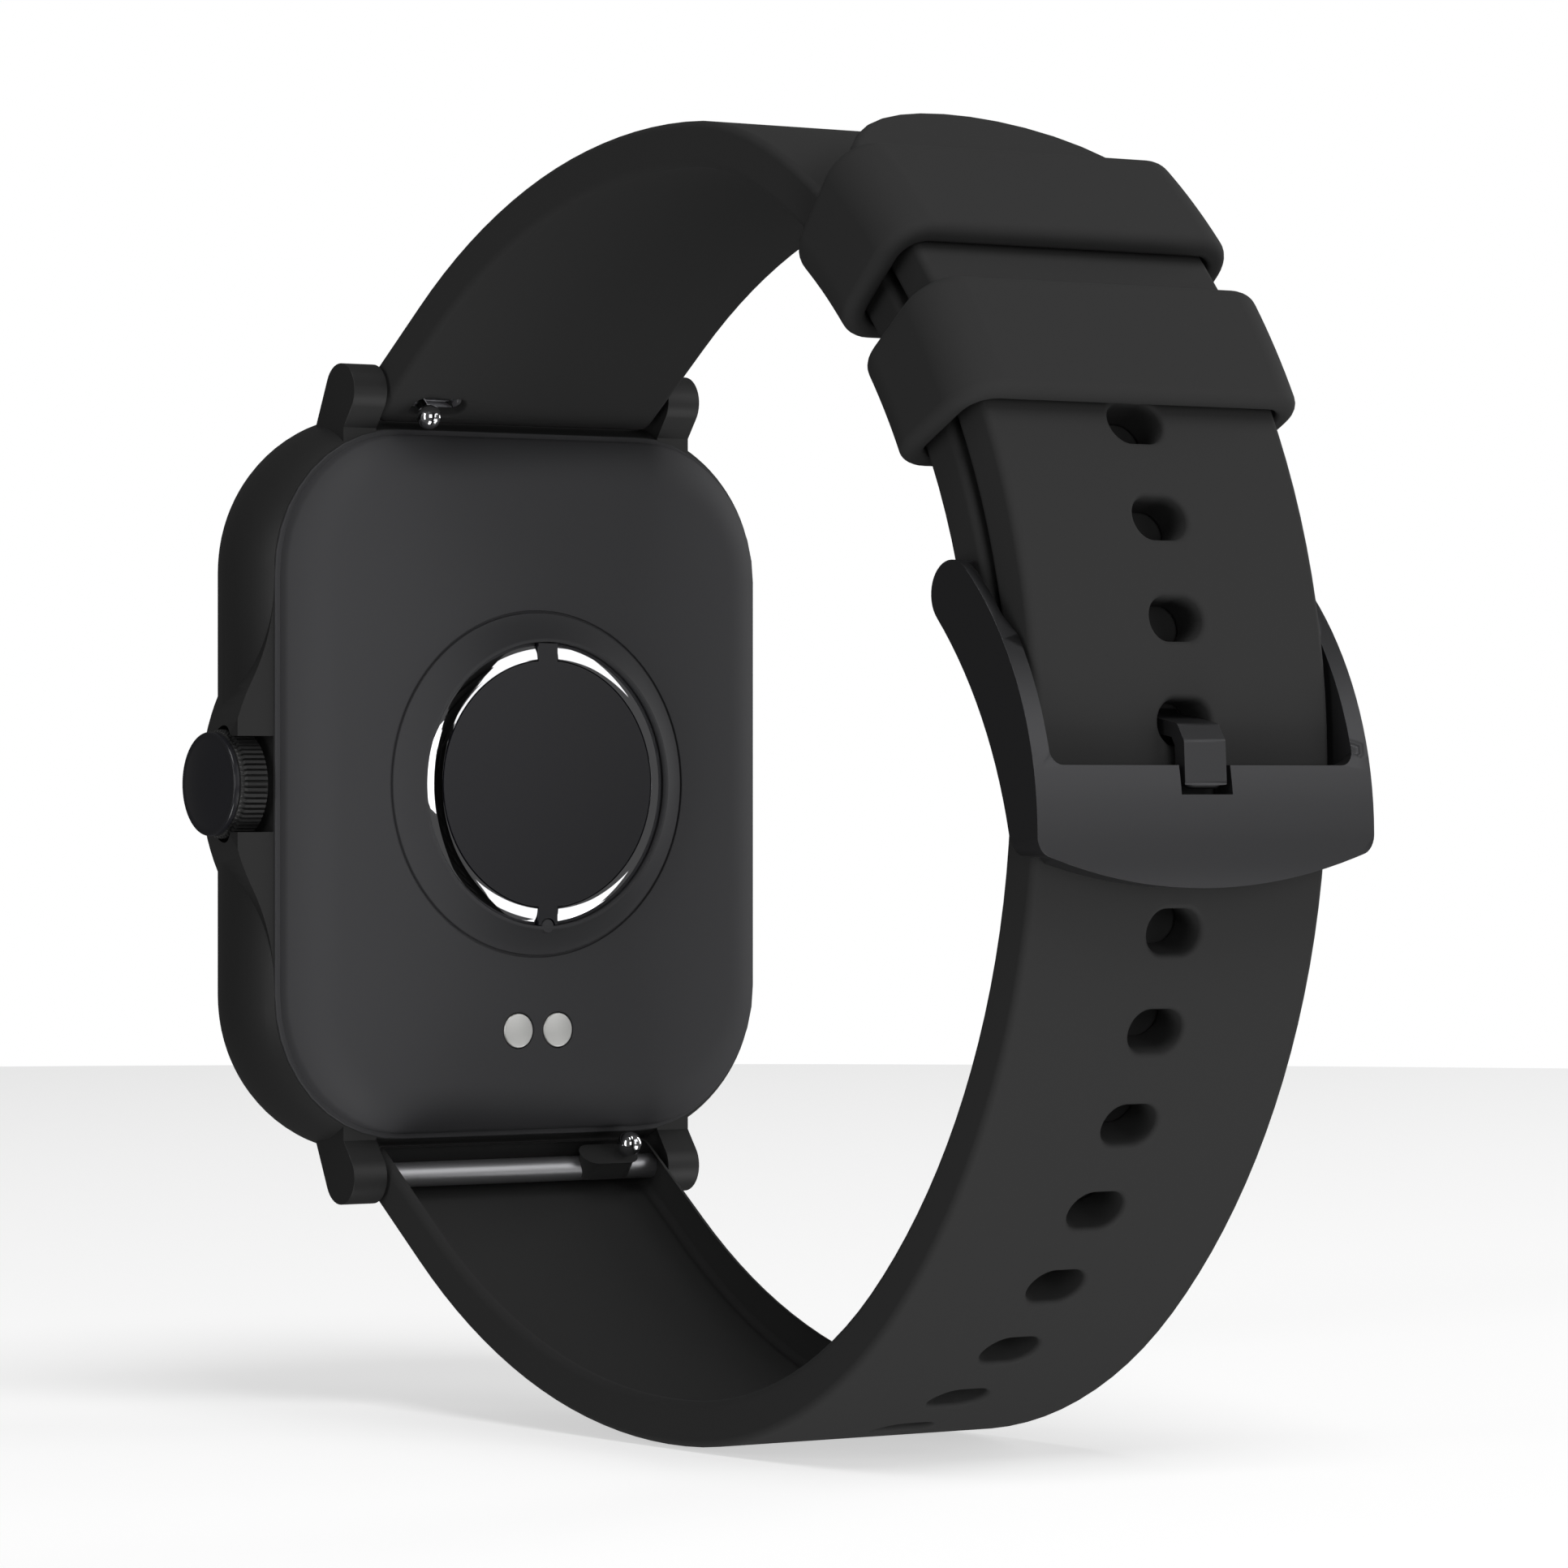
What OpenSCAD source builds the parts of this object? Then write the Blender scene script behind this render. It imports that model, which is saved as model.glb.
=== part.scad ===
// Smartwatch with its strap buckled into a loop.
// +X points to the crown, +Y out of the case back towards the wrist, +Z to 12 o'clock.
// The origin is the centre of the case back's flat face.

/* [Case] */
// Width of the case at its widest, without the crown guard
case_w = 36.4; // [33:0.2:42]
// Height of the case at its tallest, without the lugs
case_h = 44.5; // [40:0.5:52]
// Depth from the case back's flat face to the front of the frame
frame_depth = 9.4; // [8.8:0.1:12]
// Corner radius of the case outline at its widest
case_corner = 9.5; // [8.5:0.1:10.5]
// Radius of the bulging side, seen in section
side_bulge = 6.2; // [6:0.1:9]
// Depth of the widest line of the side, from the back face
bulge_depth = 5.5; // [5:0.1:6]
// Thickness of the frame's wall at the widest line
frame_wall = 2.8; // [2.4:0.1:3.2]

/* [Rear cover] */
// Depth of the seam between cover and frame, from the back face
seam_depth = 2.2; // [1.9:0.1:2.4]
// How far in from its edge the cover rolls before it is flat
cover_roll = 3.3; // [2.8:0.1:4]
// Corner radius of the cover's outline
cover_corner = 8.8; // [8:0.1:9.2]
// Thickness of the cover's flat
cover_skin = 1.0; // [0.8:0.1:1.3]
// Thickness of the lip that plugs the cover into the frame
lip_wall = 0.9; // [0.7:0.1:1.1]
// How far the lip reaches into the frame
lip_reach = 1.2; // [0.8:0.1:1.3]
// Width of the rear gasket's square section
gasket_w = 0.5; // [0.4:0.05:0.6]

/* [Sensor] */
// Radius of the raised sensor mound at its foot
mound_foot = 10.37; // [9.8:0.05:11.5]
// Radius of the mound at its top
mound_top = 8.75; // [8.6:0.05:9.2]
// Height of the mound above the flat
mound_h = 1.08; // [0.9:0.02:1.4]
// Outer radius of the polished ring
ring_ro = 8.53; // [8.2:0.01:8.55]
// Inner radius of the polished ring
ring_ri = 7.5; // [7.2:0.05:7.7]
// Gap between the two halves of the ring
ring_gap = 1.5; // [1:0.1:2]
// Thickness of the sensor glass and of the ring
glass_t = 0.53; // [0.4:0.01:0.6]
// Radius of the hole under the sensor glass, whose edge carries glass and ring
sensor_hole = 6.9; // [6.2:0.1:7]
// Radius of the index tab that keys the sensor glass
index_r = 0.43; // [0.3:0.01:0.5]
// Radius of each round light
led_r = 0.75; // [0.5:0.05:1]
// Distance of each round light from the centre
led_off = 3.66; // [3.2:0.02:4.2]
// Width of each light detector
diode_w = 1.7; // [1.2:0.1:2]
// Height of each light detector
diode_h = 2.26; // [1.6:0.02:2.6]
// Gap between the two light detectors
diode_gap = 0.5; // [0.3:0.05:0.8]
// Height of the lights and the detectors above their board
led_t = 1.0; // [0.6:0.1:1.2]
// Radius of the sensor board
sensor_board_r = 8; // [7.4:0.1:8.6]
// Thickness of the sensor board
sensor_board_t = 0.6; // [0.4:0.1:0.8]
// Width of the ribbon between sensor board and main board
ribbon_w = 4; // [2:0.5:5]
// Thickness of every flexible ribbon
ribbon_t = 0.12; // [0.1:0.01:0.2]

/* [Charging] */
// Spacing of the two charging pads, centre to centre
pad_pitch = 2.84; // [2.54:0.02:4]
// Radius of each charging pad
pad_r = 1.05; // [0.8:0.05:1.15]
// Distance of the pads below the case centre
pad_drop = 14.9; // [13:0.1:15.5]
// How far each pad reaches in from the flat
pad_l = 1.6; // [1.2:0.1:1.8]
// Radius of each holding magnet
magnet_r = 1.5; // [1:0.1:1.8]
// Thickness of each holding magnet
magnet_t = 1.1; // [0.8:0.1:1.2]
// Spacing of the two magnets, centre to centre
magnet_pitch = 10.4; // [8:0.2:12]

/* [Display] */
// Thickness of the front glass
front_glass_t = 1.6; // [1:0.1:2]
// Radius of the front glass's rounded edge
front_glass_round = 1.4; // [0.6:0.1:1.8]
// Step in from the frame's front edge to the glass
glass_step = 0.25; // [0.1:0.05:0.5]
// Thickness of the adhesive ring under the front glass
adhesive_t = 0.15; // [0.1:0.05:0.2]
// Width of the adhesive ring
adhesive_w = 0.9; // [0.6:0.1:1.1]
// Thickness of the display panel
panel_t = 1.2; // [0.9:0.1:1.3]
// Width of the display's ribbon
display_ribbon_w = 8; // [5:0.5:8]

/* [Crown] */
// Depth of the crown's axis from the back face
crown_depth = 5; // [4.8:0.1:5.4]
// Radius of the crown's knurled wheel over the teeth
wheel_r = 3.25; // [2.9:0.05:3.4]
// Length of the knurled wheel
wheel_l = 2; // [1.6:0.1:2.4]
// Depth of the knurl's grooves
knurl_depth = 0.22; // [0.15:0.01:0.3]
// Number of teeth round the wheel
knurl_teeth = 60; // [40:2:72]
// Radius of the polished cap
cap_r = 3.1; // [2.6:0.05:3.3]
// Thickness of the cap's edge
cap_edge = 0.3; // [0.2:0.05:0.5]
// Height of the cap's dome
cap_dome = 0.45; // [0.3:0.05:0.8]
// How far the crown presses in
crown_travel = 0.4; // [0.2:0.05:0.4]
// Radius of the crown's stem
stem_r = 1; // [0.9:0.05:1.05]
// Outer radius of the tube that the stem turns in
tube_r = 1.35; // [1.25:0.05:1.45]
// Radius of the tube's inner flange
tube_flange_r = 1.55; // [1.5:0.01:1.6]
// Thickness of the tube's inner flange
tube_flange_t = 0.7; // [0.4:0.1:0.8]
// Radius of the retaining clip
clip_r = 1.45; // [1.3:0.05:1.5]
// Thickness of the retaining clip
clip_t = 0.4; // [0.3:0.05:0.5]
// Radius of the seal ring's round section
seal_r = 0.15; // [0.12:0.01:0.18]
// Mean radius of the return spring's coil
crown_coil_r = 1.6; // [1.5:0.05:1.7]
// Radius of the return spring's wire
crown_wire_r = 0.12; // [0.1:0.01:0.16]
// How far the crown guard stands out from the rear cover's edge
guard_rise = 3; // [2.5:0.1:3.2]
// Angle at which the guard leans in towards its front
guard_lean = 16.5; // [14:0.5:18]
// Radius that rounds the guard's crest from front to back
guard_section = 14; // [11:0.5:18]
// Depth of the guard from the seam to its front
guard_l = 6.6; // [6:0.1:7]
// Half the height of the crown guard, along Z
guard_reach = 12; // [11:0.5:13]
// Radius of the guard's crest
guard_crest = 13; // [10:0.5:15]
// Half the height of the slot that opens the guard to the rear
slot_half = 2.85; // [2.6:0.05:3]

/* [Side switch] */
// Length of the switch's body along X
switch_l = 2.2; // [1.8:0.1:2.6]
// Width of the switch's body along Z
switch_w = 3; // [2.6:0.1:3.4]
// Radius of the switch's plunger
plunger_r = 0.6; // [0.5:0.05:0.8]
// Length of the plunger
plunger_l = 0.95; // [0.8:0.05:1.1]

/* [Lugs and spring bars] */
// Width of each lug
lug_w = 2.3; // [1.9:0.05:2.6]
// Depth, from the back face, at which a lug's front grows out of the case
lug_root = 5.6; // [5.2:0.1:6.4]
// Drop of the flat between two lugs below the case's end
end_drop = 0.35; // [0.2:0.05:0.45]
// Distance of each spring bar's axis past the case's end, along Z
bar_past = 1.25; // [1.05:0.05:2.7]
// Depth of each spring bar's axis from the back face
bar_depth = 2.6; // [2.4:0.1:3]
// Radius of each lug's rounded tip
lug_tip = 1.65; // [1.55:0.05:1.9]
// Radius of a spring bar's tube
bar_r = 0.75; // [0.7:0.01:0.85]
// Radius of the pins at a spring bar's ends
tip_r = 0.42; // [0.38:0.01:0.46]
// How far each end pin reaches into its lug
tip_reach = 0.8; // [0.6:0.05:1]
// Radius of the quick-release knob's ball
knob_r = 0.75; // [0.6:0.05:0.8]
// Distance of the knob from its bar's axis
knob_off = 2.25; // [2.1:0.05:2.4]
// Distance of the knob in from the strap's edge
knob_inset = 2.66; // [2.3:0.02:3.1]
// Angle of the knob's stem below the Y axis
knob_angle = 41; // [35:1:45]
// Radius of the knob's stem
knob_stem_r = 0.35; // [0.28:0.01:0.4]
// How far the quick-release knob slides
knob_travel = 2.2; // [1.6:0.1:2.3]
// Radius of the bar spring's wire
bar_wire_r = 0.07; // [0.06:0.01:0.09]

/* [Strap] */
// Width of the strap
strap_w = 19.8; // [17.8:0.1:21.8]
// Thickness of the strap
strap_t = 2.6; // [2.2:0.1:2.8]
// Radius that softens the strap's edges
strap_edge = 0.45; // [0.2:0.05:0.8]
// How much thicker the strap's rolled end at a lug is, on each side
roll_over = 0.12; // [0.1:0.01:0.2]
// Gap between the two layers of strap
layer_gap = 0.6; // [0.5:0.05:1]
// Length of each adjustment hole, across the strap
hole_l = 3.6; // [3.3:0.1:4]
// Width of each adjustment hole, along the strap
hole_w = 2.4; // [2.3:0.05:2.8]
// Spacing of the adjustment holes, along the strap's middle
hole_pitch = 5.42; // [4.6:0.02:6]
// Number of adjustment holes from the buckled one to the tip
holes_to_tip = 3; // [1:1:4]
// Number of adjustment holes from the buckled one to the case
holes_to_case = 9; // [5:1:10]
// Distance of the tip's rounding centre past the buckled hole, along the strap
tip_run = 30; // [28:0.2:33]
// How much the radius of the tip's rounding exceeds half the strap's width
tip_blunt = 1.1; // [0.5:0.1:2]

/* [Loop] */
// Angle at which the strap leaves each spring bar, above the Y axis
leave_angle = 36.16; // [34:0.02:38]
// Straight length of strap beside the spring bar
straight_l = 6.7; // [5:0.1:8]
// Middle radius of the strap's first bend
first_bend_r = 43.9; // [42:0.1:46]
// Sweep of the strap's first bend
first_bend_sweep = 38.27; // [37:0.01:39]
// Distance from the back face to the centre of the clasp end's bend
loop_y = 21.68; // [21:0.01:22.5]
// Height of that centre above the case centre
loop_z = 1.03; // [0.5:0.01:1.5]
// How much the strap's outer radius at the clasp end exceeds the spring bars' height
loop_over = 17.7; // [17.1:0.1:18.5]

/* [Keepers] */
// Thickness of a keeper's wall
keeper_wall = 1.25; // [1:0.05:1.6]
// Length of a keeper along the strap, at its outer face
keeper_l = 7.7; // [6:0.1:8.4]
// Room inside a keeper beside the strap, on each side
keeper_room = 0.6; // [0.4:0.1:1.2]
// Thickness of a keeper's sides
keeper_side = 1.25; // [1:0.05:1.6]
// Radius of a keeper's outer corners
keeper_round = 2.6; // [1.5:0.1:3]
// Angle of the upper keeper about the clasp end's centre
keeper_upper_at = 47.5; // [46.5:0.1:50]
// Angle of the lower keeper about the clasp end's centre
keeper_lower_at = 32.8; // [30:0.1:33.4]

/* [Buckle] */
// Angle of the buckle's bar about the clasp end's centre
buckle_bar_at = 14.2; // [13.5:0.1:15]
// Radius of the buckle's bar
buckle_bar_r = 0.75; // [0.65:0.01:0.8]
// Radius of the bar's thinner ends
buckle_bar_tip_r = 0.45; // [0.35:0.01:0.5]
// How much thicker the strap's rolled end round the buckle's bar is, on each side
clasp_over = 0.3; // [0.2:0.05:0.35]
// Radius of the rounded ear at each end of the bar
ear_r = 1.8; // [1.6:0.05:1.9]
// Width of each of the buckle's arms
arm_w = 1.15; // [1.05:0.05:1.6]
// Gap between the strap's edge and the buckle's arm
window_gap = 0.3; // [0.2:0.05:0.5]
// Radius of the arms' outer edge
arm_outer_r = 18.9; // [18:0.1:20]
// Radius of the arms' inner edge
arm_inner_r = 24.85; // [24:0.05:26]
// Height of the front plate's top edge, from the case centre
plate_top = 1.0; // [0.8:0.1:1.3]
// Drop of the front plate's lowest point, from the case centre
plate_bottom = 5.5; // [5:0.1:6]
// Radius of the front plate's curved lower edge
plate_curve = 33.4; // [28:0.2:40]
// How far the front plate's face stands out past the strap
plate_proud = 2.2; // [2:0.05:2.5]
// Width of the notch that takes the tongue
notch_w = 3.45; // [3.2:0.05:3.8]
// Gap between the tongue's tip and the bottom of the notch
notch_gap = 0.45; // [0.2:0.05:0.6]
// Width of the tongue
tongue_w = 2.8; // [2.5:0.05:2.9]
// Thickness of the tongue
tongue_t = 0.8; // [0.7:0.05:0.9]
// Radius of the tongue's eye round the bar
tongue_eye = 1.35; // [1.2:0.05:1.45]
// Angle of the buckled hole about the clasp end's centre
tongue_hole_at = 3.1; // [2.8:0.1:3.4]
// How far past the buckled hole the tongue's tip reaches
tongue_tip_run = 3.2; // [2.8:0.05:3.4]

/* [Inside] */
// Thickness of the chassis plate
chassis_t = 0.6; // [0.5:0.1:0.8]
// Clearance all round between the chassis and the frame
chassis_inset = 0.4; // [0.3:0.1:0.8]
// Height of the chassis's screw bosses
boss_h = 0.1; // [0.05:0.05:0.3]
// Radius of the chassis's screw bosses
boss_r = 1.2; // [1:0.1:1.5]
// Thickness of the main board
board_t = 0.7; // [0.6:0.1:0.8]
// Radius of a board screw's shank
screw_r = 0.5; // [0.4:0.05:0.6]
// Radius of a board screw's head
screw_head_r = 0.95; // [0.8:0.05:1]
// Height of a board screw's head
screw_head_h = 0.5; // [0.4:0.1:0.7]
// Width of the battery
battery_w = 21.6; // [18:0.2:22]
// Height of the battery
battery_h = 13.6; // [11:0.2:14]
// Thickness of the battery
battery_t = 3.5; // [3:0.1:3.6]
// Thickness of the battery's adhesive pad
battery_pad_t = 0.2; // [0.1:0.05:0.3]
// Radius of the vibration motor
motor_r = 4; // [3:0.1:4.5]
// Thickness of the vibration motor
motor_t = 2.5; // [2:0.1:2.7]
// Width of the shield over the chips
shield_w = 13; // [12.6:0.1:14]
// Height of the shield over the chips
shield_h = 7.6; // [7:0.1:8]
// Thickness of the shield, from the board to its top
shield_t = 1.5; // [1.3:0.1:1.8]

/* [Clearances] */
// Radial clearance between a pin or shaft and its bore
running = 0.03; // [0.02:0.01:0.05]
// Clearance between the strap and what slides on it
sliding = 0.2; // [0.15:0.01:0.3]
// Gap between parts that move close by each other
air = 0.25; // [0.2:0.05:0.3]
// Slack between parts that are glued or pushed together
slack = 0.05; // [0.03:0.01:0.1]

/* [Hidden] */
$fn = 64;
eps = 0.01;
hair = 0.01;
lap = 0.3;
coil_sides = 6;
coil_steps = 14;

frame_front = -frame_depth;
seam_y = -seam_depth;
glass_front = frame_front - front_glass_t;
hx = case_w / 2 - case_corner;
hz = case_h / 2 - case_corner;
// Reach of the frame's side at depth y, from the centres of its corners
function side_reach(y) = case_corner - side_bulge
    + sqrt(pow(side_bulge, 2) - pow(y + bulge_depth, 2));
cavity = case_corner - frame_wall;
function hundredth(v) = round(100 * v) / 100;
cover_x = hundredth(hx + side_reach(seam_y) - cover_corner);
cover_z = hundredth(hz + side_reach(seam_y) - cover_corner);
cover_roll_r = (pow(cover_roll, 2) + pow(seam_depth, 2)) / (2 * seam_depth);
lip_out = cavity + hx - cover_x - 2 * slack;
lip_in = lip_out - lip_wall;
skin_y = -cover_skin;

ring_y = mound_h - glass_t;
sensor_board_y = skin_y - sensor_board_t;

panel_front = frame_front + 2 * slack;
panel_back = panel_front + panel_t;
chassis_front = panel_back + slack;
chassis_back = chassis_front + chassis_t;
board_front = chassis_back + boss_h;
board_back = board_front + board_t;
panel_gap = 0.5;
panel_reach = cavity - panel_gap;
chassis_reach = cavity - chassis_inset;
ribbon_room = 0.6;
inner_top = hz + chassis_reach - ribbon_room;
gasket_in = cavity + 0.6;

crown_y = -crown_depth;
guard_base = cover_x + cover_corner;
guard_peak = guard_base + guard_rise;
slot_floor = guard_base + slack;
wall_in = hx + cavity;
wheel_in = slot_floor + crown_travel + slack;
wheel_out = wheel_in + wheel_l;
cap_back = wheel_out;
cap_socket = 0.35;
cap_plug_r = cap_r * 0.6;
wheel_recess = crown_coil_r + crown_wire_r + air;
wheel_recess_l = wheel_l * 0.45;
tube_in = wall_in - tube_flange_t;
tube_bore = stem_r + running;
clip_out = tube_in - slack;
clip_in = clip_out - clip_t;
neck_r = stem_r * 0.6;
stem_past_clip = 1.85;
stem_in = clip_in - stem_past_clip;
stem_out = cap_back - cap_socket - slack;
seal_x = (wall_in + slot_floor) / 2;
seal_mid = tube_bore - seal_r - hair;
plunger_out = stem_in - slack;
plunger_in = plunger_out - plunger_l;
switch_out = plunger_out - plunger_l + crown_travel;
switch_in = switch_out - switch_l;
guard_fillet = (pow(guard_reach, 2) / guard_rise + guard_rise) / 2 - guard_crest;
guard_front = seam_y - guard_l;
guard_crest_at = guard_peak - guard_crest;
guard_cos = (guard_base + guard_fillet - guard_crest_at) / (guard_crest + guard_fillet);
guard_sin = guard_reach / (guard_crest + guard_fillet);

bar_z = case_h / 2 + bar_past;
bar_at = [-bar_depth, bar_z];
lug_in = strap_w / 2 + air;
lug_out = lug_in + lug_w;
bar_half = strap_w / 2;
tip_end = lug_in + tip_reach;
tip_bore = tip_r + running;
pin_room = 0.15;
knob_slot = knob_stem_r + 0.12;
knob_x = strap_w / 2 - knob_inset;
pin_past_knob = 1.4;
bar_spring_out = knob_x - knob_travel - knob_stem_r - pin_past_knob;
bar_spring_l = 3.4 * knob_travel - 1;

half_t = strap_t / 2;
strap_roll = half_t + roll_over;
clasp_roll = half_t + clasp_over;
loop_r = bar_z + loop_over;
outer_r = loop_r - half_t;
inner_r = outer_r - strap_t - layer_gap;
loop_at = [loop_y, loop_z];

function dir(a) = [cos(a), sin(a)];
function left(a) = [-sin(a), cos(a)];
function polar(v) = atan2(v[1], v[0]);
// Centre of a circle at distances ra from a and rb from b, to the right of a to b
function cross_at(a, ra, b, rb) =
    let (d = norm(b - a), u = (b - a) / d)
    let (x = (d * d + ra * ra - rb * rb) / (2 * d), y = sqrt(ra * ra - x * x))
    a + x * u + y * [u[1], -u[0]];

// The strap's middle line: a straight, two bends and the clasp end's bend
straight_end = bar_at + straight_l * dir(leave_angle);
first_at = straight_end - first_bend_r * left(leave_angle);
second_head = leave_angle - first_bend_sweep;
first_end = first_at + first_bend_r * left(second_head);
function second_r(r, c) =
    let (w = first_end - c)
    (r * r - w * w) / (2 * (r - left(second_head) * w));
function second_at(r, c) = first_end - second_r(r, c) * left(second_head);

lower_loop_at = [loop_y, -loop_z];
buckle_strap_from = polar(second_at(inner_r, loop_at) - loop_at);
hole_strap_from = polar(second_at(outer_r, lower_loop_at) - lower_loop_at);
pitch_deg = hole_pitch / outer_r * 180 / PI;
tip_at = tongue_hole_at + tip_run / outer_r * 180 / PI;
tip_plan_r = strap_w / 2 + tip_blunt;
// Centre, radius and angle of adjustment hole k, counted from the buckled one to the case
function hole_place(k) =
    let (a = k * pitch_deg - tongue_hole_at, past = a - hole_strap_from)
    let (r2 = second_r(outer_r, lower_loop_at))
    past <= 0 ? [lower_loop_at, outer_r, a]
    : [second_at(outer_r, lower_loop_at), r2, hole_strap_from + past * outer_r / r2];

clasp_at = loop_at + inner_r * dir(buckle_bar_at);
buckle_bar_half = strap_w / 2;
window_half = strap_w / 2 + window_gap;
buckle_half = window_half + arm_w;
buckle_bar_in_arm = 0.7;
buckle_bar_end = window_half + buckle_bar_in_arm;
keeper_half = strap_w / 2 + keeper_room + keeper_side;
keeper_in_r = inner_r - half_t - sliding;
keeper_out_r = loop_r + sliding;
keeper_sweep = keeper_l / (keeper_out_r + keeper_wall) * 180 / PI;
plate_in_r = loop_r + air;
plate_drop = plate_bottom + loop_z;
plate_out_at = loop_at + [sqrt(pow(loop_r + plate_proud, 2) - pow(plate_drop, 2)), -plate_drop];
arm_meets_plate = -8;
plate_low = loop_at + plate_in_r * dir(arm_meets_plate);
arm_outer_at = cross_at(clasp_at, arm_outer_r - ear_r, plate_out_at, arm_outer_r);
arm_inner_at = cross_at(clasp_at, arm_inner_r + ear_r, plate_low, arm_inner_r);
hole_dir = dir(tongue_hole_at);
hole_down = [hole_dir[1], -hole_dir[0]];
hole_at = loop_at + outer_r * hole_dir;
// The tongue's middle line: from its eye, in behind the strap, out through the hole and over the plate
tongue_path = [
    clasp_at + [0.1, -tongue_eye + tongue_t / 2],
    hole_at - (half_t + layer_gap + 0.45) * hole_dir - 1.35 * hole_down,
    hole_at - (half_t - 0.1) * hole_dir - 0.27 * hole_down,
    hole_at + (half_t + 0.75) * hole_dir + 0.45 * hole_down,
    hole_at + (half_t + 1.15) * hole_dir + 1.15 * hole_down,
    hole_at + (half_t + 1.15) * hole_dir + tongue_tip_run * hole_down
];
tongue_tip_from_bar = norm(tongue_path[5] - clasp_at) + tongue_t / 2;
notch_from_bar = tongue_tip_from_bar + notch_gap;

// ---------- helpers ----------

// A solid from an outline in X and Z, between two depths
module slab(y0, y1) {
    translate([0, y1, 0]) rotate([90, 0, 0]) linear_extrude(y1 - y0) children();
}

// Turns a solid made in (Y, Z, X) into place
module from_side() {
    rotate([90, 0, 90]) children();
}

// A rod along Y
module rod_y(x, z, y0, y1, r) {
    translate([x, y0, z]) rotate([-90, 0, 0]) cylinder(h = y1 - y0, r = r);
}

// A rod along X on the crown's axis
module rod_x(x0, x1, r) {
    translate([x0, crown_y, 0]) rotate([0, 90, 0]) cylinder(h = x1 - x0, r = r);
}

// A rod along X at a place in Y and Z
module pin_x(at, x0, x1, r) {
    translate([x0, at[0], at[1]]) rotate([0, 90, 0]) cylinder(h = x1 - x0, r = r);
}

// A rectangle with round corners, centred
module round_rect(w, h, r) {
    square([w - 2 * r, h], center = true);
    square([w, h - 2 * r], center = true);
    for (x = [-1, 1], y = [-1, 1]) translate([x * (w / 2 - r), y * (h / 2 - r)]) circle(r);
}

// The case's outline, with its edge at a reach from the corner centres
module outline(cx, cz, reach) {
    round_rect(2 * (cx + reach), 2 * (cz + reach), reach);
}

// Carries a section round the case: its x is the reach from the corner centres, its y the depth
module round_case(cx, cz, y0, y1) {
    linear_extrude(2 * cz, center = true) {
        translate([-cx, y0]) square([2 * cx, y1 - y0]);
        translate([cx, 0]) children();
        mirror([1, 0]) translate([cx, 0]) children();
    }
    for (turn = [-90, 90]) rotate([0, turn, 0]) translate([cz, 0, 0])
        linear_extrude(2 * cx, center = true) children();
    for (corner = [[1, 1, 270], [-1, 1, 180], [-1, -1, 90], [1, -1, 0]])
        translate([corner[0] * cx, 0, corner[1] * cz]) rotate([-90, 0, 0])
            rotate_extrude(angle = 90, start = corner[2]) children();
}

// A straight bar of a thickness between two points, round at both ends
module strip(a, b, t) {
    translate(a) rotate(polar(b - a)) translate([0, -t / 2]) square([norm(b - a), t]);
    translate(a) circle(t / 2);
    translate(b) circle(t / 2);
}

// A coil spring along Z from zero to its length
module coil(r, wire, turns, length) {
    steps = turns * coil_steps;
    function ring(i) = [for (k = [0 : coil_sides - 1])
        let (a = i * 360 / coil_steps, b = k * 360 / coil_sides, q = r + wire * cos(b))
        [q * cos(a), q * sin(a), wire + (length - 2 * wire) * i / steps + wire * sin(b)]];
    points = [for (i = [0 : steps]) each ring(i)];
    sides = [for (i = [0 : steps - 1], k = [0 : coil_sides - 1])
        let (p = i * coil_sides, n = (k + 1) % coil_sides)
        each [[p + k, p + coil_sides + k, p + coil_sides + n], [p + k, p + coil_sides + n, p + n]]];
    first = [for (k = [0 : coil_sides - 1]) k];
    last = [for (k = [coil_sides - 1 : -1 : 0]) steps * coil_sides + k];
    polyhedron(points, concat(sides, [first, last]));
}

// ---------- case ----------

// Section of the frame's side: bulging between two depths
module side_section(y0, y1) {
    intersection() {
        translate([0, y0]) square([case_corner, y1 - y0]);
        union() {
            translate([0, y0]) square([case_corner - side_bulge, y1 - y0]);
            translate([case_corner - side_bulge, -bulge_depth]) circle(side_bulge);
        }
    }
}

// Outline of the crown guard: a crest that runs out into the side in two hollows
module guard_outline() {
    difference() {
        translate([0, -guard_reach]) square([guard_peak, 2 * guard_reach]);
        for (s = [-1, 1]) translate([guard_base + guard_fillet, s * guard_reach]) circle(guard_fillet);
        difference() {
            translate([guard_crest_at + guard_crest * guard_cos, -guard_crest * guard_sin])
                square([guard_crest, 2 * guard_crest * guard_sin]);
            translate([guard_crest_at, 0]) circle(guard_crest);
        }
    }
}

// The guard: its outline leans in towards the front, and its crest is rounded
module crown_guard() {
    intersection() {
        slab(guard_front, seam_y) translate([0, -guard_reach]) square([guard_peak, 2 * guard_reach]);
        translate([guard_base, seam_y, 0]) rotate([0, 0, -guard_lean]) translate([-guard_base, 0, 0])
            intersection() {
                slab(-1.5 * guard_l, guard_l / 2) guard_outline();
                translate([guard_peak - guard_section, -guard_l / 2, -guard_reach])
                    cylinder(h = 2 * guard_reach, r = guard_section);
            }
    }
}

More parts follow.
